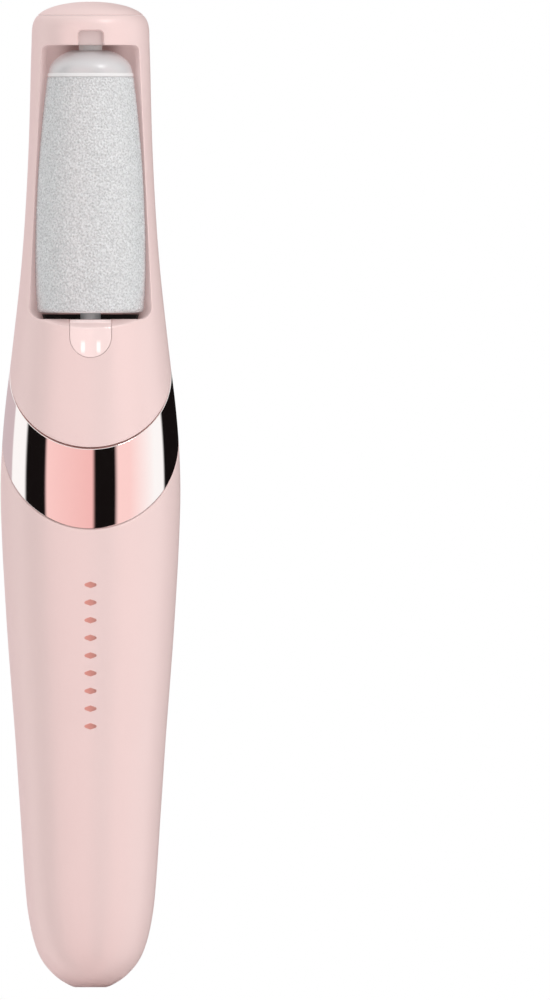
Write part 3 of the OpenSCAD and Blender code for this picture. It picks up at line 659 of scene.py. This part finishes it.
def flat_patch(boundary, hole_r, z):
    """A level patch inside boundary with a round hole on the roller's axis."""
    a = full_turn(HOLE_SIDES)
    circle = np.stack([hole_r * np.cos(a), ROLLER_Y + hole_r * np.sin(a)], 1)
    flat, faces = triangulate([], [boundary, circle])
    middle = flat[faces].mean(axis=1)
    faces = faces[inside(boundary, middle) & ~inside(circle, middle)]
    level = np.concatenate([flat, np.full((len(flat), 1), z)], 1)
    return level, faces, np.concatenate([circle, np.full((HOLE_SIDES, 1), z)], 1)


def bay_edge(sheet, loop, rim):
    """The rounded edge round the bay's opening, and the ring where its walls start."""
    outer = sheet.solid(sheet.flat(*rim.T))
    corner = np.stack([loop[:, 0], front_y(loop[:, 0], loop[:, 1]), loop[:, 1]], 1)
    wall = corner + [0, FILLET, 0]
    steps = [(1 - t) ** 2 * outer + 2 * t * (1 - t) * corner + t * t * wall
             for t in (0, 0.2, 0.4, 0.6, 0.8, 1)]
    return (np.concatenate(steps), grid_faces(len(steps), len(loop))), wall


class SleeveShape:
    """Radius along the sleeve, smoothed through the CAD sleeve's own outline."""

    def __init__(self):
        points = {}
        for v in nodes["roller_sleeve"].data.vertices:
            z, r = round(v.co.z / MM, 2), math.hypot(v.co.x / MM, v.co.y / MM - ROLLER_Y)
            points[z] = max(points.get(z, 0), r)
        levels = sorted(points)
        keep = [z for z in levels if z > levels[0] + 1.5]
        foot = [points[keep[0]] - 0.05, levels[0]]
        wide = spline([foot] + [[points[z], z] for z in keep], 600)
        self.z, self.r = wide[:, 1], wide[:, 0]

    def at(self, z):
        return float(np.interp(z, self.z, self.r))


def bay_side(edge):
    """Lines of the bay's right wall, which leans in and then turns round behind the roller."""
    shape = SleeveShape()
    gap = np.array([bay_half_width(z) - shape.at(z) - 0.2 for z in edge[:, 2]])
    draft = np.stack([np.clip(gap, 0.1, 1.1) * BAY_DRAFT, 0 * gap, 0 * gap], 1)
    lines = [edge + t * ([0, SIDE_Y, 0] - edge * [0, 1, 0]) - min(1, 1.4 * t) * draft
             for t in (0, 0.15, 0.3, 0.5, 0.72, 1)]
    room = radius(edge[:, 2]) - BAY_WALL
    x = (edge - draft)[:, 0]
    for t in np.linspace(0, 1, 16)[1:]:
        y = SIDE_Y + (room - SIDE_Y) * math.sin(t * math.pi / 2)
        reach = np.sqrt(np.maximum(room ** 2 - y ** 2, 0)) / bay_half_width(edge[:, 2])
        lines.append(np.stack([x * np.minimum(1, reach), y, edge[:, 2]], 1))
    return lines


def bay_end(front, side, hole_r, z, depth):
    """The bay's floor or roof, with the pocket for the drive stub or the pin's bush."""
    side = np.array(side)
    front = np.concatenate([front[::-1] * [-1, 1, 1], front[1:]])[:, :2]
    boundary = np.concatenate([front, side, (side * [-1, 1])[::-1][1:]])
    level, faces, circle = flat_patch(boundary, hole_r, z)
    pocket = np.concatenate([circle, circle + [0, 0, depth]])
    bottom = tuple(range(HOLE_SIDES, 2 * HOLE_SIDES))
    return [(level, faces), (pocket, grid_faces(2, HOLE_SIDES) + [bottom])]


def head_ends(sheet, plane):
    """The head's end faces at its two seams, each with a small rounded edge."""
    a = math.pi - np.linspace(-math.pi, math.pi, sheet.COLS + 1)[:-1]
    low = np.interp(math.pi - a, sheet.angle, sheet.low)
    bottom = [ring_at(a, low, 0), rim_ring(a, plane, 0.03, -0.07), rim_ring(a, plane, 0.1, -0.015),
              rim_ring(a, plane, 0.22), rim_ring(a, plane, BAY_WALL)]
    top = [ring_at(a, sheet.high, 0)]
    top += [flat_ring(a, radius(SEAM_CAP) - inset, SEAM_CAP - back)
            for inset, back in ((0.03, 0.07), (0.1, 0.015), (0.22, 0), (2, 0))]
    parts = []
    for rings in (bottom, top):
        last = (len(rings) - 1) * sheet.COLS
        faces = grid_faces(len(rings), sheet.COLS) + [tuple(range(last, last + sheet.COLS))]
        parts.append((np.concatenate(rings), faces))
    return parts


def merged(parts):
    """One list of points and one of faces from (points, faces) parts."""
    verts, faces, base = [], [], 0
    for v, f in parts:
        verts.append(np.asarray(v))
        faces += [tuple(int(i) + base for i in face) for face in f]
        base += len(v)
    return np.concatenate(verts), faces


def head():
    heights = [f[0] for f in seam_faces("head_shell", -1)]
    plane = (max(heights), tilted_plane("head_shell", -1)[1])
    sheet = Sheet(plane)
    loop, half, floor_end, roof_start = bay_loop()
    rim = offset_loop(loop, FILLET)
    edge, wall = bay_edge(sheet, loop, rim)
    right = bay_side(wall[floor_end:roof_start + 1])
    n = len(right[0])
    strip = [(i * n + j, i * n + j + 1, (i + 1) * n + j + 1, (i + 1) * n + j)
             for i in range(len(right) - 1) for j in range(n - 1)]
    side = np.concatenate(right)
    parts = [head_skin(sheet, rim), edge, (side, strip), (side * [-1, 1, 1], strip)]
    parts += bay_end(wall[:floor_end + 1], [line[0][:2] for line in right[1:]],
                     STUB_HOLE_R, BAY_FLOOR_Z, -2)
    parts += bay_end(wall[roof_start:half][::-1], [line[-1][:2] for line in right[1:]],
                     PIN_HOLE_R, BAY_ROOF_Z, 3)
    verts, faces = merged(parts + head_ends(sheet, plane))
    piece = build("head_skin", verts, faces, "wand", "shell", "head_shell", merge=1e-6)
    # Painted shade: the bay's inside and the notch over the pin take a darker pink, with painted
    # glow towards the bay's sides.
    piece.data.materials.append(FINISH["bay_painted_shade_glow"])
    for face in piece.data.polygons:
        x, y, z = face.center / MM
        in_bay = BAY_FLOOR_Z - 0.02 < z < BAY_ROOF_Z + 0.02
        in_bay &= math.hypot(x, y) < radius(z) - FILLET
        if in_bay or (y < 0 and notch_distance(x, z) < -0.1):
            face.material_index = 1


# ---- pads: small raised pieces with a rounded top edge ----

def pad(name, outline, surface, rise, depth, edge, body, slot, stands_for, spacing, sign=-1):
    """A raised piece with the given x-z outline, following a surface y = surface(x, z)."""
    centre = outline.mean(axis=0)
    reach = np.linalg.norm(outline - centre, axis=1)
    n, inner = len(outline), max(2, math.ceil(reach.max() / spacing))
    corner = [(edge * (1 - math.cos(t)), edge * (1 - math.sin(t)))
              for t in np.linspace(math.pi / 2, 0, 6)]

    def ring(back, drop, scale=1.0):
        shrink = (1 - back / reach)[:, None] * scale
        flat = centre + (outline - centre) * shrink
        y = surface(flat[:, 0], flat[:, 1]) + sign * (rise - drop)
        return np.stack([flat[:, 0], y, flat[:, 1]], 1)

    def tip(drop):
        y = float(surface(centre[:1], centre[1:])[0]) + sign * (rise - drop)
        return [[centre[0], y, centre[1]]]

    rings = [ring(edge * k / inner, 0, k / inner) for k in range(1, inner)]
    rings += [ring(back, drop) for back, drop in corner]
    rings += [ring(0, depth, k / inner) for k in range(inner, 0, -1)]
    verts = np.concatenate(rings + [tip(0), tip(depth)])
    faces = grid_faces(len(rings), n)
    last, end = (len(rings) - 1) * n, len(rings) * n
    faces += [((j + 1) % n, j, end) for j in range(n)]
    faces += [(last + j, last + (j + 1) % n, end + 1) for j in range(n)]
    return build(name, verts, faces, body, slot, stands_for)


def foil_marks():
    """A row of small plain lozenges up the front of the grip."""
    low, high = box_mm("foil_inlay")
    half_w, half_h, pitch = 1.8, 0.65, 3.5
    count = round((high[2] - low[2] - 2 * half_h) / pitch) + 1
    for i in range(count):
        z = low[2] + half_h + i * pitch
        corners = [[0, z - half_h, 0.3], [half_w, z, 0.3], [0, z + half_h, 0.3], [-half_w, z, 0.3]]
        outline = resample(rounded(corners, 4), 0.25)
        pad(f"foil_mark_{i + 1}", outline, wand_front, 0.03, 0.2, 0.03,
            "wand", "rose_foil", None if i else "foil_inlay", 0.3)


def lens():
    """Clear pink light lens, flush with the head under the bay."""
    arc = np.linspace(-math.pi, 0, 40)
    r, top = LENS_R - 0.015, BAY_FLOOR_Z - 0.1
    bottom = np.stack([r * np.cos(arc), LENS_MID_Z + r * np.sin(arc)], 1)
    outline = resample(np.concatenate([bottom, [[r, top], [-r, top]]]), 0.3)
    pad("lens_skin", outline, ramped_y, 0.02, 1.85, 0.05, "wand", "lens", "light_lens", 0.25)


def indicator():
    """Charge light in the back of the grip."""
    low, high = box_mm("indicator_pipe")
    r, z0 = (high[0] - low[0]) / 2, (high[2] + low[2]) / 2
    a = full_turn(40)
    outline = np.stack([r * np.cos(a), z0 + r * np.sin(a)], 1)
    pad("indicator_light", outline, wand_back, 0.04, high[1] - low[1], 0.12, "wand",
        "clear_plastic", "indicator_pipe", 0.2, 1)


def knob():
    """Slide knob with three finger grooves and a stem down to the switch lever."""
    half_w, half_h = (knob_high[0] - knob_low[0]) / 2, (knob_high[2] - knob_low[2]) / 2
    z0 = (knob_high[2] + knob_low[2]) / 2

    def block(wide, tall, corner, steps, spacing):
        corners = [[sx * wide, z0 + sz * tall, corner]
                   for sx, sz in ((-1, -1), (1, -1), (1, 1), (-1, 1))]
        return resample(rounded(corners, steps), spacing)

    def surface(x, z):
        groove = sum(np.maximum(0, 1 - ((z - z0 - 1.7 * i) / 0.5) ** 2) for i in (-1, 0, 1))
        edge = smooth_step((half_w - 0.6 - np.abs(x)) / 0.5)
        return wand_back(x, z) - 0.36 * groove * edge

    outline = block(half_w, half_h, 1.4, 8, 0.2)
    pad("knob_skin", outline, surface, 0.5, 0.98, 0.35, "knob", "rose_foil", "switch_knob", 0.12, 1)
    loop = block(1.5, 1.5, 0.3, 4, 0.4)
    n, front = len(loop), box_mm("switch_lever")[1][1] - 0.9
    back = float(wand_back(np.zeros(1), np.array([z0]))[0]) - 0.5
    ends = [np.stack([loop[:, 0], np.full(n, y), loop[:, 1]], 1) for y in (front, back)]
    faces = grid_faces(2, n) + [tuple(range(n)), tuple(range(n, 2 * n))]
    build("knob_stem", np.concatenate(ends), faces, "knob", "rose_foil")


# ---- roller ----

def grit(count_round, count_up, spacing, wave, seed):
    """Uneven height of the abrasive, from 0 to 1, that repeats round the roller."""
    field = np.random.default_rng(seed).standard_normal((count_up, count_round))
    fy = np.fft.fftfreq(count_up, spacing)[:, None]
    fx = np.fft.fftfreq(count_round, spacing)[None, :]
    f = np.hypot(fx, fy) * wave
    band = np.exp(-((f - 1) / 0.45) ** 2) + 0.35 * np.exp(-((f - 2) / 0.6) ** 2)
    field = np.real(np.fft.ifft2(np.fft.fft2(field) * band))
    return np.clip(field / field.std() * 0.22 + 0.5, 0, 1)


# The sleeve's foot: how far it hangs below the CAD sleeve, and its round's height and width
SKIRT, FOOT, FOOT_IN = 0.34, 1.1, 0.95


def plate_radius():
    """Radius of the core's end plate under the sleeve."""
    points = nodes["roller_core"].data.vertices
    return max(math.hypot(v.co.x / MM, v.co.y / MM - ROLLER_Y) for v in points)


def sleeve():
    """Abrasive sleeve, with the grit as geometry."""
    low, high = roller_low[2], roller_high[2]
    rows, cols, grain, wave, seed, bore_r = 340, 500, 0.28, 0.75, 7, 8.05
    heights = np.linspace(low - SKIRT, high - 0.08, rows)
    shape = SleeveShape()
    bumps = grit(cols, rows, heights[1] - heights[0], wave, seed)
    a = full_turn(cols)

    def ring(r, z):
        return np.stack([r * np.cos(a), r * np.sin(a) + ROLLER_Y, z + 0 * a], 1)

    skirt_r = plate_radius() + 0.04
    rings = [ring(bore_r, low + 0.01), ring(skirt_r, low + 0.01), ring(skirt_r, low - SKIRT)]
    for z, bump in zip(heights, bumps):
        t = max(0, (low - SKIRT + FOOT - z) / FOOT)
        round_in = FOOT_IN * (1 - math.sqrt(1 - t * t))
        rings.append(ring(shape.at(z) - round_in + grain * (bump - 0.6), z))
    rings += [ring(shape.at(high) - 0.2, high), ring(bore_r, high)]
    faces = grid_faces(len(rings), cols, close_rows=True)
    build("sleeve_grit", np.concatenate(rings), faces, "roller", "abrasive", "roller_sleeve",
          sharp=180)


def cap():
    """Smooth end cap of the roller, with a real ridge at its base in brighter white plastic that
    carries a painted highlight.
    """
    low, high = box_mm("roller_cap")
    r = (high[0] - low[0]) / 2
    z0, z1 = roller_high[2] + 0.02, high[2]
    bore, ridge_h, flat_r = 2.36, 0.8, 3.2
    profile = [[bore, z0], [r - 0.25, z0], [r - 0.2, z0 + ridge_h]]
    rise = z1 - z0 - ridge_h
    for t in np.linspace(0.04, 1, 30):
        a = t * math.pi / 2
        wide = (r - 0.2 - flat_r) * math.cos(a) ** 1.35 if t < 1 else 0
        profile.append([flat_r + wide, z0 + ridge_h + rise * math.sin(a)])
    profile.append([bore, z1])
    verts, faces = lathe(profile, 180, ROLLER_Y, closed=True)
    build("roller_cap_skin", verts, faces, "roller", "grey_plastic", "roller_cap")
    # Painted highlight: the ridge's white plastic is brighter than the cap and glows a little.
    ridge = [[r - 0.4, z0 + 0.04], [r - 0.12, z0 + 0.04], [r, z0 + 0.14], [r + 0.02, z0 + 0.4],
             [r - 0.03, z0 + ridge_h - 0.15], [r - 0.16, z0 + ridge_h], [r - 0.4, z0 + ridge_h]]
    verts, faces = lathe(ridge, 180, ROLLER_Y, closed=True)
    build("roller_cap_rim", verts, faces, "roller", "white_plastic")


def spring():
    """Coil spring behind the pin, built at one length; the real one shortens as the pin is pushed
    in.
    """
    low, high = box_mm("roller_spring")
    wire, turns, per_turn, around = 0.3, 8, 36, 10
    r, rise = (high[0] - low[0]) / 2 - wire, high[2] - low[2] - 2 * wire
    steps = turns * per_turn
    t = np.linspace(0, 2 * math.pi * turns, steps + 1)
    share = t / t[-1]
    pitch = smooth_step(share * 8) * smooth_step((1 - share) * 8) + 0.05
    climb = np.concatenate([[0], np.cumsum((pitch[1:] + pitch[:-1]) / 2)])
    z = low[2] + wire + rise * climb / climb[-1]
    b = full_turn(around)[None, :]
    reach = r + wire * np.cos(b)
    x = reach * np.cos(t)[:, None]
    y = reach * np.sin(t)[:, None] + ROLLER_Y
    verts = np.stack([x, y, z[:, None] + wire * np.sin(b)], -1).reshape(-1, 3)
    last = steps * around
    faces = grid_faces(steps + 1, around) + [tuple(range(around)), tuple(range(last, last + around))]
    piece = build("spring_coil", verts, faces, "roller", "steel", "roller_spring")
    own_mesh(piece)


# ---- materials ----

class Graph:
    """A node tree with short names for adding and joining nodes."""

    def __init__(self, tree, fresh=True):
        self.tree = tree
        if fresh:
            tree.nodes.clear()

    def add(self, kind, inputs=None, **settings):
        node = self.tree.nodes.new("ShaderNode" + kind)
        for key, value in settings.items():
            setattr(node, key, value)
        for key, value in (inputs or {}).items():
            if isinstance(value, bpy.types.NodeSocket):
                self.tree.links.new(value, node.inputs[key])
            else:
                node.inputs[key].default_value = value
        return node

    def find(self, kind):
        return next(n for n in self.tree.nodes if n.bl_idname == "ShaderNode" + kind)

    def maths(self, operation, *values):
        return self.add("Math", dict(enumerate(values)), operation=operation).outputs[0]

    def axes(self, vector):
        return self.add("SeparateXYZ", {"Vector": vector}).outputs

    def remap(self, value, low, high, start=0.0, end=1.0, **settings):
        """The value taken from low..high to start..end."""
        limits = {"From Min": low, "From Max": high, "To Min": start, "To Max": end}
        node = self.add("MapRange", {"Value": value, **limits}, **settings)
        return node.outputs["Result"]

    def blend(self, share, a, b):
        """Colour a where share is 0, and b where it is 1."""
        node = self.add("Mix", {"Factor": share, "A": a, "B": b}, data_type="RGBA")
        return node.outputs["Result"]


def linear(rgb):
    """Scene-linear colour from 0-255 display values."""
    out = []
    for v in rgb:
        v /= 255
        out.append(v / 12.92 if v <= 0.04045 else ((v + 0.055) / 1.055) ** 2.4)
    return tuple(out) + (1,)


def finish_of(name, rgb, vary, rough, metallic, coat, grain, bump, relief,
              stretch=(1, 1, 1), spread=1.0, uneven=0.5, extra=None):
    """Procedural finish: fine grain, uneven colour and roughness, and a little relief."""
    material = bpy.data.materials.new(name)
    material.use_nodes = True
    g = Graph(material.node_tree)
    place = g.add("TexCoord")
    mapped = g.add("Mapping", {"Vector": place.outputs["Object"], "Scale": stretch})
    fine = g.add("TexNoise", {"Vector": mapped.outputs[0], "Scale": grain,
                                        "Detail": 4.0, "Roughness": 0.6})
    broad = g.add("TexNoise", {"Vector": place.outputs["Object"], "Scale": 45.0,
                                         "Detail": 2.0})
    mixed = g.add("Mix", {"Factor": uneven, "A": fine.outputs["Fac"],
                                    "B": broad.outputs["Fac"]})
    ramp = g.add("ValToRGB", {"Fac": mixed.outputs["Result"]})
    for element, sign in zip(ramp.color_ramp.elements, (-1, 1)):
        element.position = 0.5 + sign * 0.22 * spread
        element.color = tuple(min(1, c * (1 + sign * vary)) for c in linear(rgb)[:3]) + (1,)
    gloss = g.remap(fine.outputs["Fac"], 0.3, 0.7, *rough)
    relief_node = g.add("Bump", {"Height": fine.outputs["Fac"], "Strength": bump,
                                           "Distance": relief * MM})
    surface = g.add("BsdfPrincipled", {
        "Base Color": ramp.outputs["Color"], "Roughness": gloss, "Metallic": metallic,
        "Coat Weight": coat, "Coat Roughness": 0.12, "Normal": relief_node.outputs["Normal"],
        **(extra or {})})
    g.add("OutputMaterial", {"Surface": surface.outputs["BSDF"]})
    return material


def bay_shade_glow_finish():
    """Painted shade and glow for the bay's inside: a darker pink than the shell, with a painted glow
    that grows towards the sides and stays off the middle, and off the floor except beside the
    roller.
    """
    pink = (216, 195, 193)
    material = finish_of("bay_painted_shade_glow", pink, 0.012, (0.4, 0.46), 0.0, 0.1, 2600.0, 0.05, 0.01,
                         extra={"Emission Color": linear(pink)})
    g = Graph(material.node_tree, fresh=False)
    at = g.axes(g.find("TexCoord").outputs["Object"])
    away = g.maths("ABSOLUTE", at["X"])
    glow_lift = g.remap(away, 3.0 * MM, 7.5 * MM, 0.0, 0.38, interpolation_type="SMOOTHSTEP")
    above_stub = g.remap(at["Z"], (BAY_FLOOR_Z + 1.2) * MM, (BAY_FLOOR_Z + 4) * MM)
    beside_roller = g.remap(away, 9.4 * MM, 10.6 * MM)
    share = g.maths("MULTIPLY", glow_lift, g.maths("MAXIMUM", above_stub, beside_roller))
    g.tree.links.new(share, g.find("BsdfPrincipled").inputs["Emission Strength"])
    return material


def lens_finish():
    """Pale glossy pink with painted highlights: two bright streaks low down and a bright band along
    the top, made as glow.
    """
    strength, warm = 0.3, (1, 0.96, 0.95, 1)
    material = finish_of("lens", (255, 229, 226), 0.01, (0.08, 0.14), 0.0, 0.6, 1200.0, 0.02,
                         0.01, extra={"Emission Color": warm})
    g = Graph(material.node_tree, fresh=False)
    at = g.axes(g.find("TexCoord").outputs["Object"])
    painted_highlights = [(-1.5, 0.4, LENS_MID_Z - 2.0, 1.1), (1.6, 0.4, LENS_MID_Z - 2.0, 1.1),
               (0.0, 4.5, BAY_FLOOR_Z - 0.4, 0.4)]
    spots = []
    for x, half_w, z, half_h in painted_highlights:
        fades = []
        for axis, middle, half in (("X", x, half_w), ("Z", z, half_h)):
            away = g.maths("ABSOLUTE", g.maths("SUBTRACT", at[axis], middle * MM))
            fades.append(g.remap(away, half * MM * 0.5, half * MM * 1.4, 1.0, 0.0,
                                 interpolation_type="SMOOTHSTEP"))
        spots.append(g.maths("MULTIPLY", *fades))
    total = g.maths("ADD", g.maths("ADD", spots[0], spots[1]), spots[2])
    g.tree.links.new(g.maths("MULTIPLY", total, strength),
                     g.find("BsdfPrincipled").inputs["Emission Strength"])
    return material


def glow(grey, strength):
    return {"Emission Color": linear(grey), "Emission Strength": strength}


# A record slot's colour, its variation, roughness from and to, metallic, coat, grains in a
# metre, and the relief's strength and height
SURFACES = {
    "shell": ((242, 216, 213), 0.012, (0.32, 0.38), 0.09, 0, 2600, 0.05, 0.01),
    "rose_mirror": ((252, 246, 244), 0.01, (0.02, 0.05), 1, 0, 500, 0.03, 0.004),
    "rose_foil": ((236, 178, 167), 0.04, (0.28, 0.38), 0.6, 0.2, 1800, 0.08, 0.01),
    "abrasive": ((219, 221, 222), 0.17, (0.25, 0.42), 0.08, 0, 2600, 0.4, 0.05),
    "grey_plastic": ((216, 214, 215), 0.02, (0.32, 0.4), 0.1, 0.2, 2400, 0.05, 0.01),
    "core_plastic_glow": ((222, 220, 221), 0.02, (0.32, 0.4), 0, 0, 2400, 0.05, 0.01),
    "white_plastic": ((232, 230, 230), 0.02, (0.35, 0.45), 0, 0, 2400, 0.05, 0.01),
    "clear_plastic": ((240, 240, 240), 0.02, (0.1, 0.2), 0, 0.5, 1500, 0.05, 0.01),
    "dark_plastic": ((46, 46, 50), 0.15, (0.4, 0.55), 0, 0, 2400, 0.2, 0.03),
    "frame_plastic": ((222, 220, 214), 0.04, (0.4, 0.55), 0, 0, 2000, 0.15, 0.03),
    "gear_plastic": ((235, 230, 212), 0.03, (0.35, 0.5), 0, 0, 2000, 0.1, 0.02),
    "rubber_black": ((9, 8, 8), 0.25, (0.75, 0.9), 0, 0, 2600, 0.3, 0.04),
    "steel": ((190, 190, 194), 0.06, (0.2, 0.34), 1, 0, 3000, 0.1, 0.01),
    "switch_metal": ((165, 167, 172), 0.08, (0.25, 0.4), 1, 0, 2400, 0.1, 0.01),
    "nickel": ((205, 200, 190), 0.06, (0.2, 0.32), 1, 0, 2000, 0.08, 0.01),
    "brass": ((205, 165, 95), 0.07, (0.22, 0.36), 1, 0, 2200, 0.1, 0.01),
    "metal_bush": ((188, 140, 100), 0.1, (0.3, 0.5), 1, 0, 4000, 0.2, 0.02),
    "board": ((28, 92, 60), 0.12, (0.3, 0.5), 0, 0, 1500, 0.15, 0.02),
    "led": ((245, 238, 190), 0.05, (0.15, 0.3), 0, 0.5, 2500, 0.05, 0.01),
    "cell_wrap": ((70, 120, 190), 0.06, (0.25, 0.4), 0, 0.3, 1500, 0.1, 0.02),
    "lead_red": ((170, 34, 34), 0.1, (0.4, 0.55), 0, 0, 2400, 0.15, 0.02),
    "lead_black": ((28, 28, 30), 0.2, (0.4, 0.6), 0, 0, 2400, 0.15, 0.02),
    "lead_white": ((225, 225, 222), 0.04, (0.4, 0.55), 0, 0, 2400, 0.15, 0.02)}
SPECIALS = {
    "shell": {"extra": {"Specular IOR Level": 0.14}},
    "abrasive": {"spread": 0.5, "uneven": 0.0, "extra": {"Specular IOR Level": 0.6}},
    # Painted light: the core's lighter grey and glow lift the shade on the drive stub.
    "core_plastic_glow": {"extra": glow((205, 203, 203), 0.12)},
    # Painted light: a slight glow lifts the pin in the shade under the roof and brightens the cap's
    # ridge.
    "white_plastic": {"extra": glow((225, 225, 225), 0.06)},
    "clear_plastic": {"extra": {"Transmission Weight": 0.5}},
    "steel": {"stretch": (1, 1, 0.08)},
    "switch_metal": {"stretch": (1, 0.2, 1)}}
FINISH = {slot: finish_of(slot, *row, **SPECIALS.get(slot, {}))
          for slot, row in SURFACES.items()}
FINISH["bay_painted_shade_glow"] = bay_shade_glow_finish()
FINISH["lens"] = lens_finish()


def paint_cad():
    """Gives every CAD node the finish its record names; the roller's core has its own, a lighter
    grey with a painted glow that lifts its shade.
    """
    for part in record["subparts"]:
        mesh = nodes[part["node"]].data
        mesh.materials.clear()
        own = part["node"] == "roller_core"
        mesh.materials.append(FINISH["core_plastic_glow" if own else part["material_slot"]])


# ---- surroundings, in metres ----

def mirror_stripes(g, direction):
    """Tall soft panels round the object, white overhead, seen only in reflections."""
    at = g.axes(direction)
    toward = g.maths("MULTIPLY", at["Y"], -1.0)
    turn = g.maths("ARCTAN2", at["X"], toward)
    mauve, white, black = (206, 188, 192), (255, 255, 255), (20, 16, 16)
    pale, pink, pale_right = (253, 208, 205), (246, 190, 187), (255, 215, 212)
    stops = [(-180, mauve), (-124, mauve), (-121, white), (-95, white), (-91, black),
             (-62, black), (-58, pale), (2, pink), (6, black), (31, black),
             (36, pale_right), (52, pale_right), (92, white), (108, white), (112, black),
             (176, black), (180, mauve)]
    ramp = g.add("ValToRGB", {"Fac": g.remap(turn, -math.pi, math.pi)})
    bands = ramp.color_ramp.elements
    while len(bands) < len(stops):
        bands.new(0.5)
    for element, (angle, rgb) in zip(bands, stops):
        element.position = (angle + 180) / 360
        element.color = linear(rgb)
    overhead = g.remap(at["Z"], 0.55, 0.8)
    return g.blend(overhead, ramp.outputs["Color"], linear(white))


def surroundings():
    """White behind the object, soft grey light on it, and the panels in its reflections."""
    grey, white = (0.66, 0.66, 0.66, 1), (1, 1, 1, 1)
    world = bpy.data.worlds.new("studio")
    bpy.context.scene.world = world
    world.use_nodes = True
    g = Graph(world.node_tree)
    place = g.add("TexCoord")
    stripes = mirror_stripes(g, place.outputs["Generated"])
    path = g.add("LightPath")
    soft = g.blend(path.outputs["Is Glossy Ray"], grey, stripes)
    seen = g.blend(path.outputs["Is Camera Ray"], soft, white)
    background = g.add("Background", {"Color": seen, "Strength": 1.0})
    g.add("OutputWorld", {"Surface": background.outputs["Background"]})


def lamp(name, location, aim_height, size, power, mirrored=False):
    """A square lamp aimed at the wand's axis; only a mirrored one shows in reflections."""
    light = bpy.data.lights.new(name, "AREA")
    light.shape = "RECTANGLE"
    light.size, light.size_y = size, size
    light.energy = power
    piece = add_object(name, light)
    piece.location = location
    aim = (Vector((0, 0, aim_height)) - Vector(location)).normalized()
    piece.rotation_euler = aim.to_track_quat("-Z", "Y").to_euler()
    piece.visible_glossy = mirrored


def stage_floor():
    """Plain pale floor just under the charging end."""
    mesh = bpy.data.meshes.new("floor")
    half, z = 2.0, -0.0004
    mesh.from_pydata([(-half, -half, z), (half, -half, z), (half, half, z), (-half, half, z)],
                     [], [(0, 1, 2, 3)])
    floor = add_object("floor", mesh)
    mesh.materials.append(finish_of("floor_paint", (244, 243, 243), 0.01, (0.6, 0.7), 0.0, 0.0,
                                    200.0, 0.02, 0.03))
    floor.visible_glossy = False


def camera():
    """Level view from the front, with no perspective."""
    frame_height, place = 0.19787, (0.0365, -0.8, 0.0964)
    data = bpy.data.cameras.new("camera")
    data.type = "ORTHO"
    data.ortho_scale = frame_height
    eye = add_object("camera", data)
    eye.location = place
    eye.rotation_euler = (math.pi / 2, 0, 0)
    bpy.context.scene.camera = eye


def main():
    paint_cad()
    for piece in (grip, band, crown, head, foil_marks, lens, indicator, knob, sleeve, cap, spring):
        piece()
    surroundings()
    stage_floor()
    lamp("key", (0.6, -0.6, 0.3), 0.1, 0.4, 1.25)
    lamp("fill", (-0.6, -0.6, 0.3), 0.1, 0.4, 0.75)
    lamp("sparkle", (0.3, -0.4, 0.7), 0.15, 0.16, 0.9, mirrored=True)
    lamp("back", (-0.2, 0.6, 0.5), 0.1, 0.5, 1.8)
    camera()
    bpy.context.scene.view_settings.view_transform = "Standard"


main()
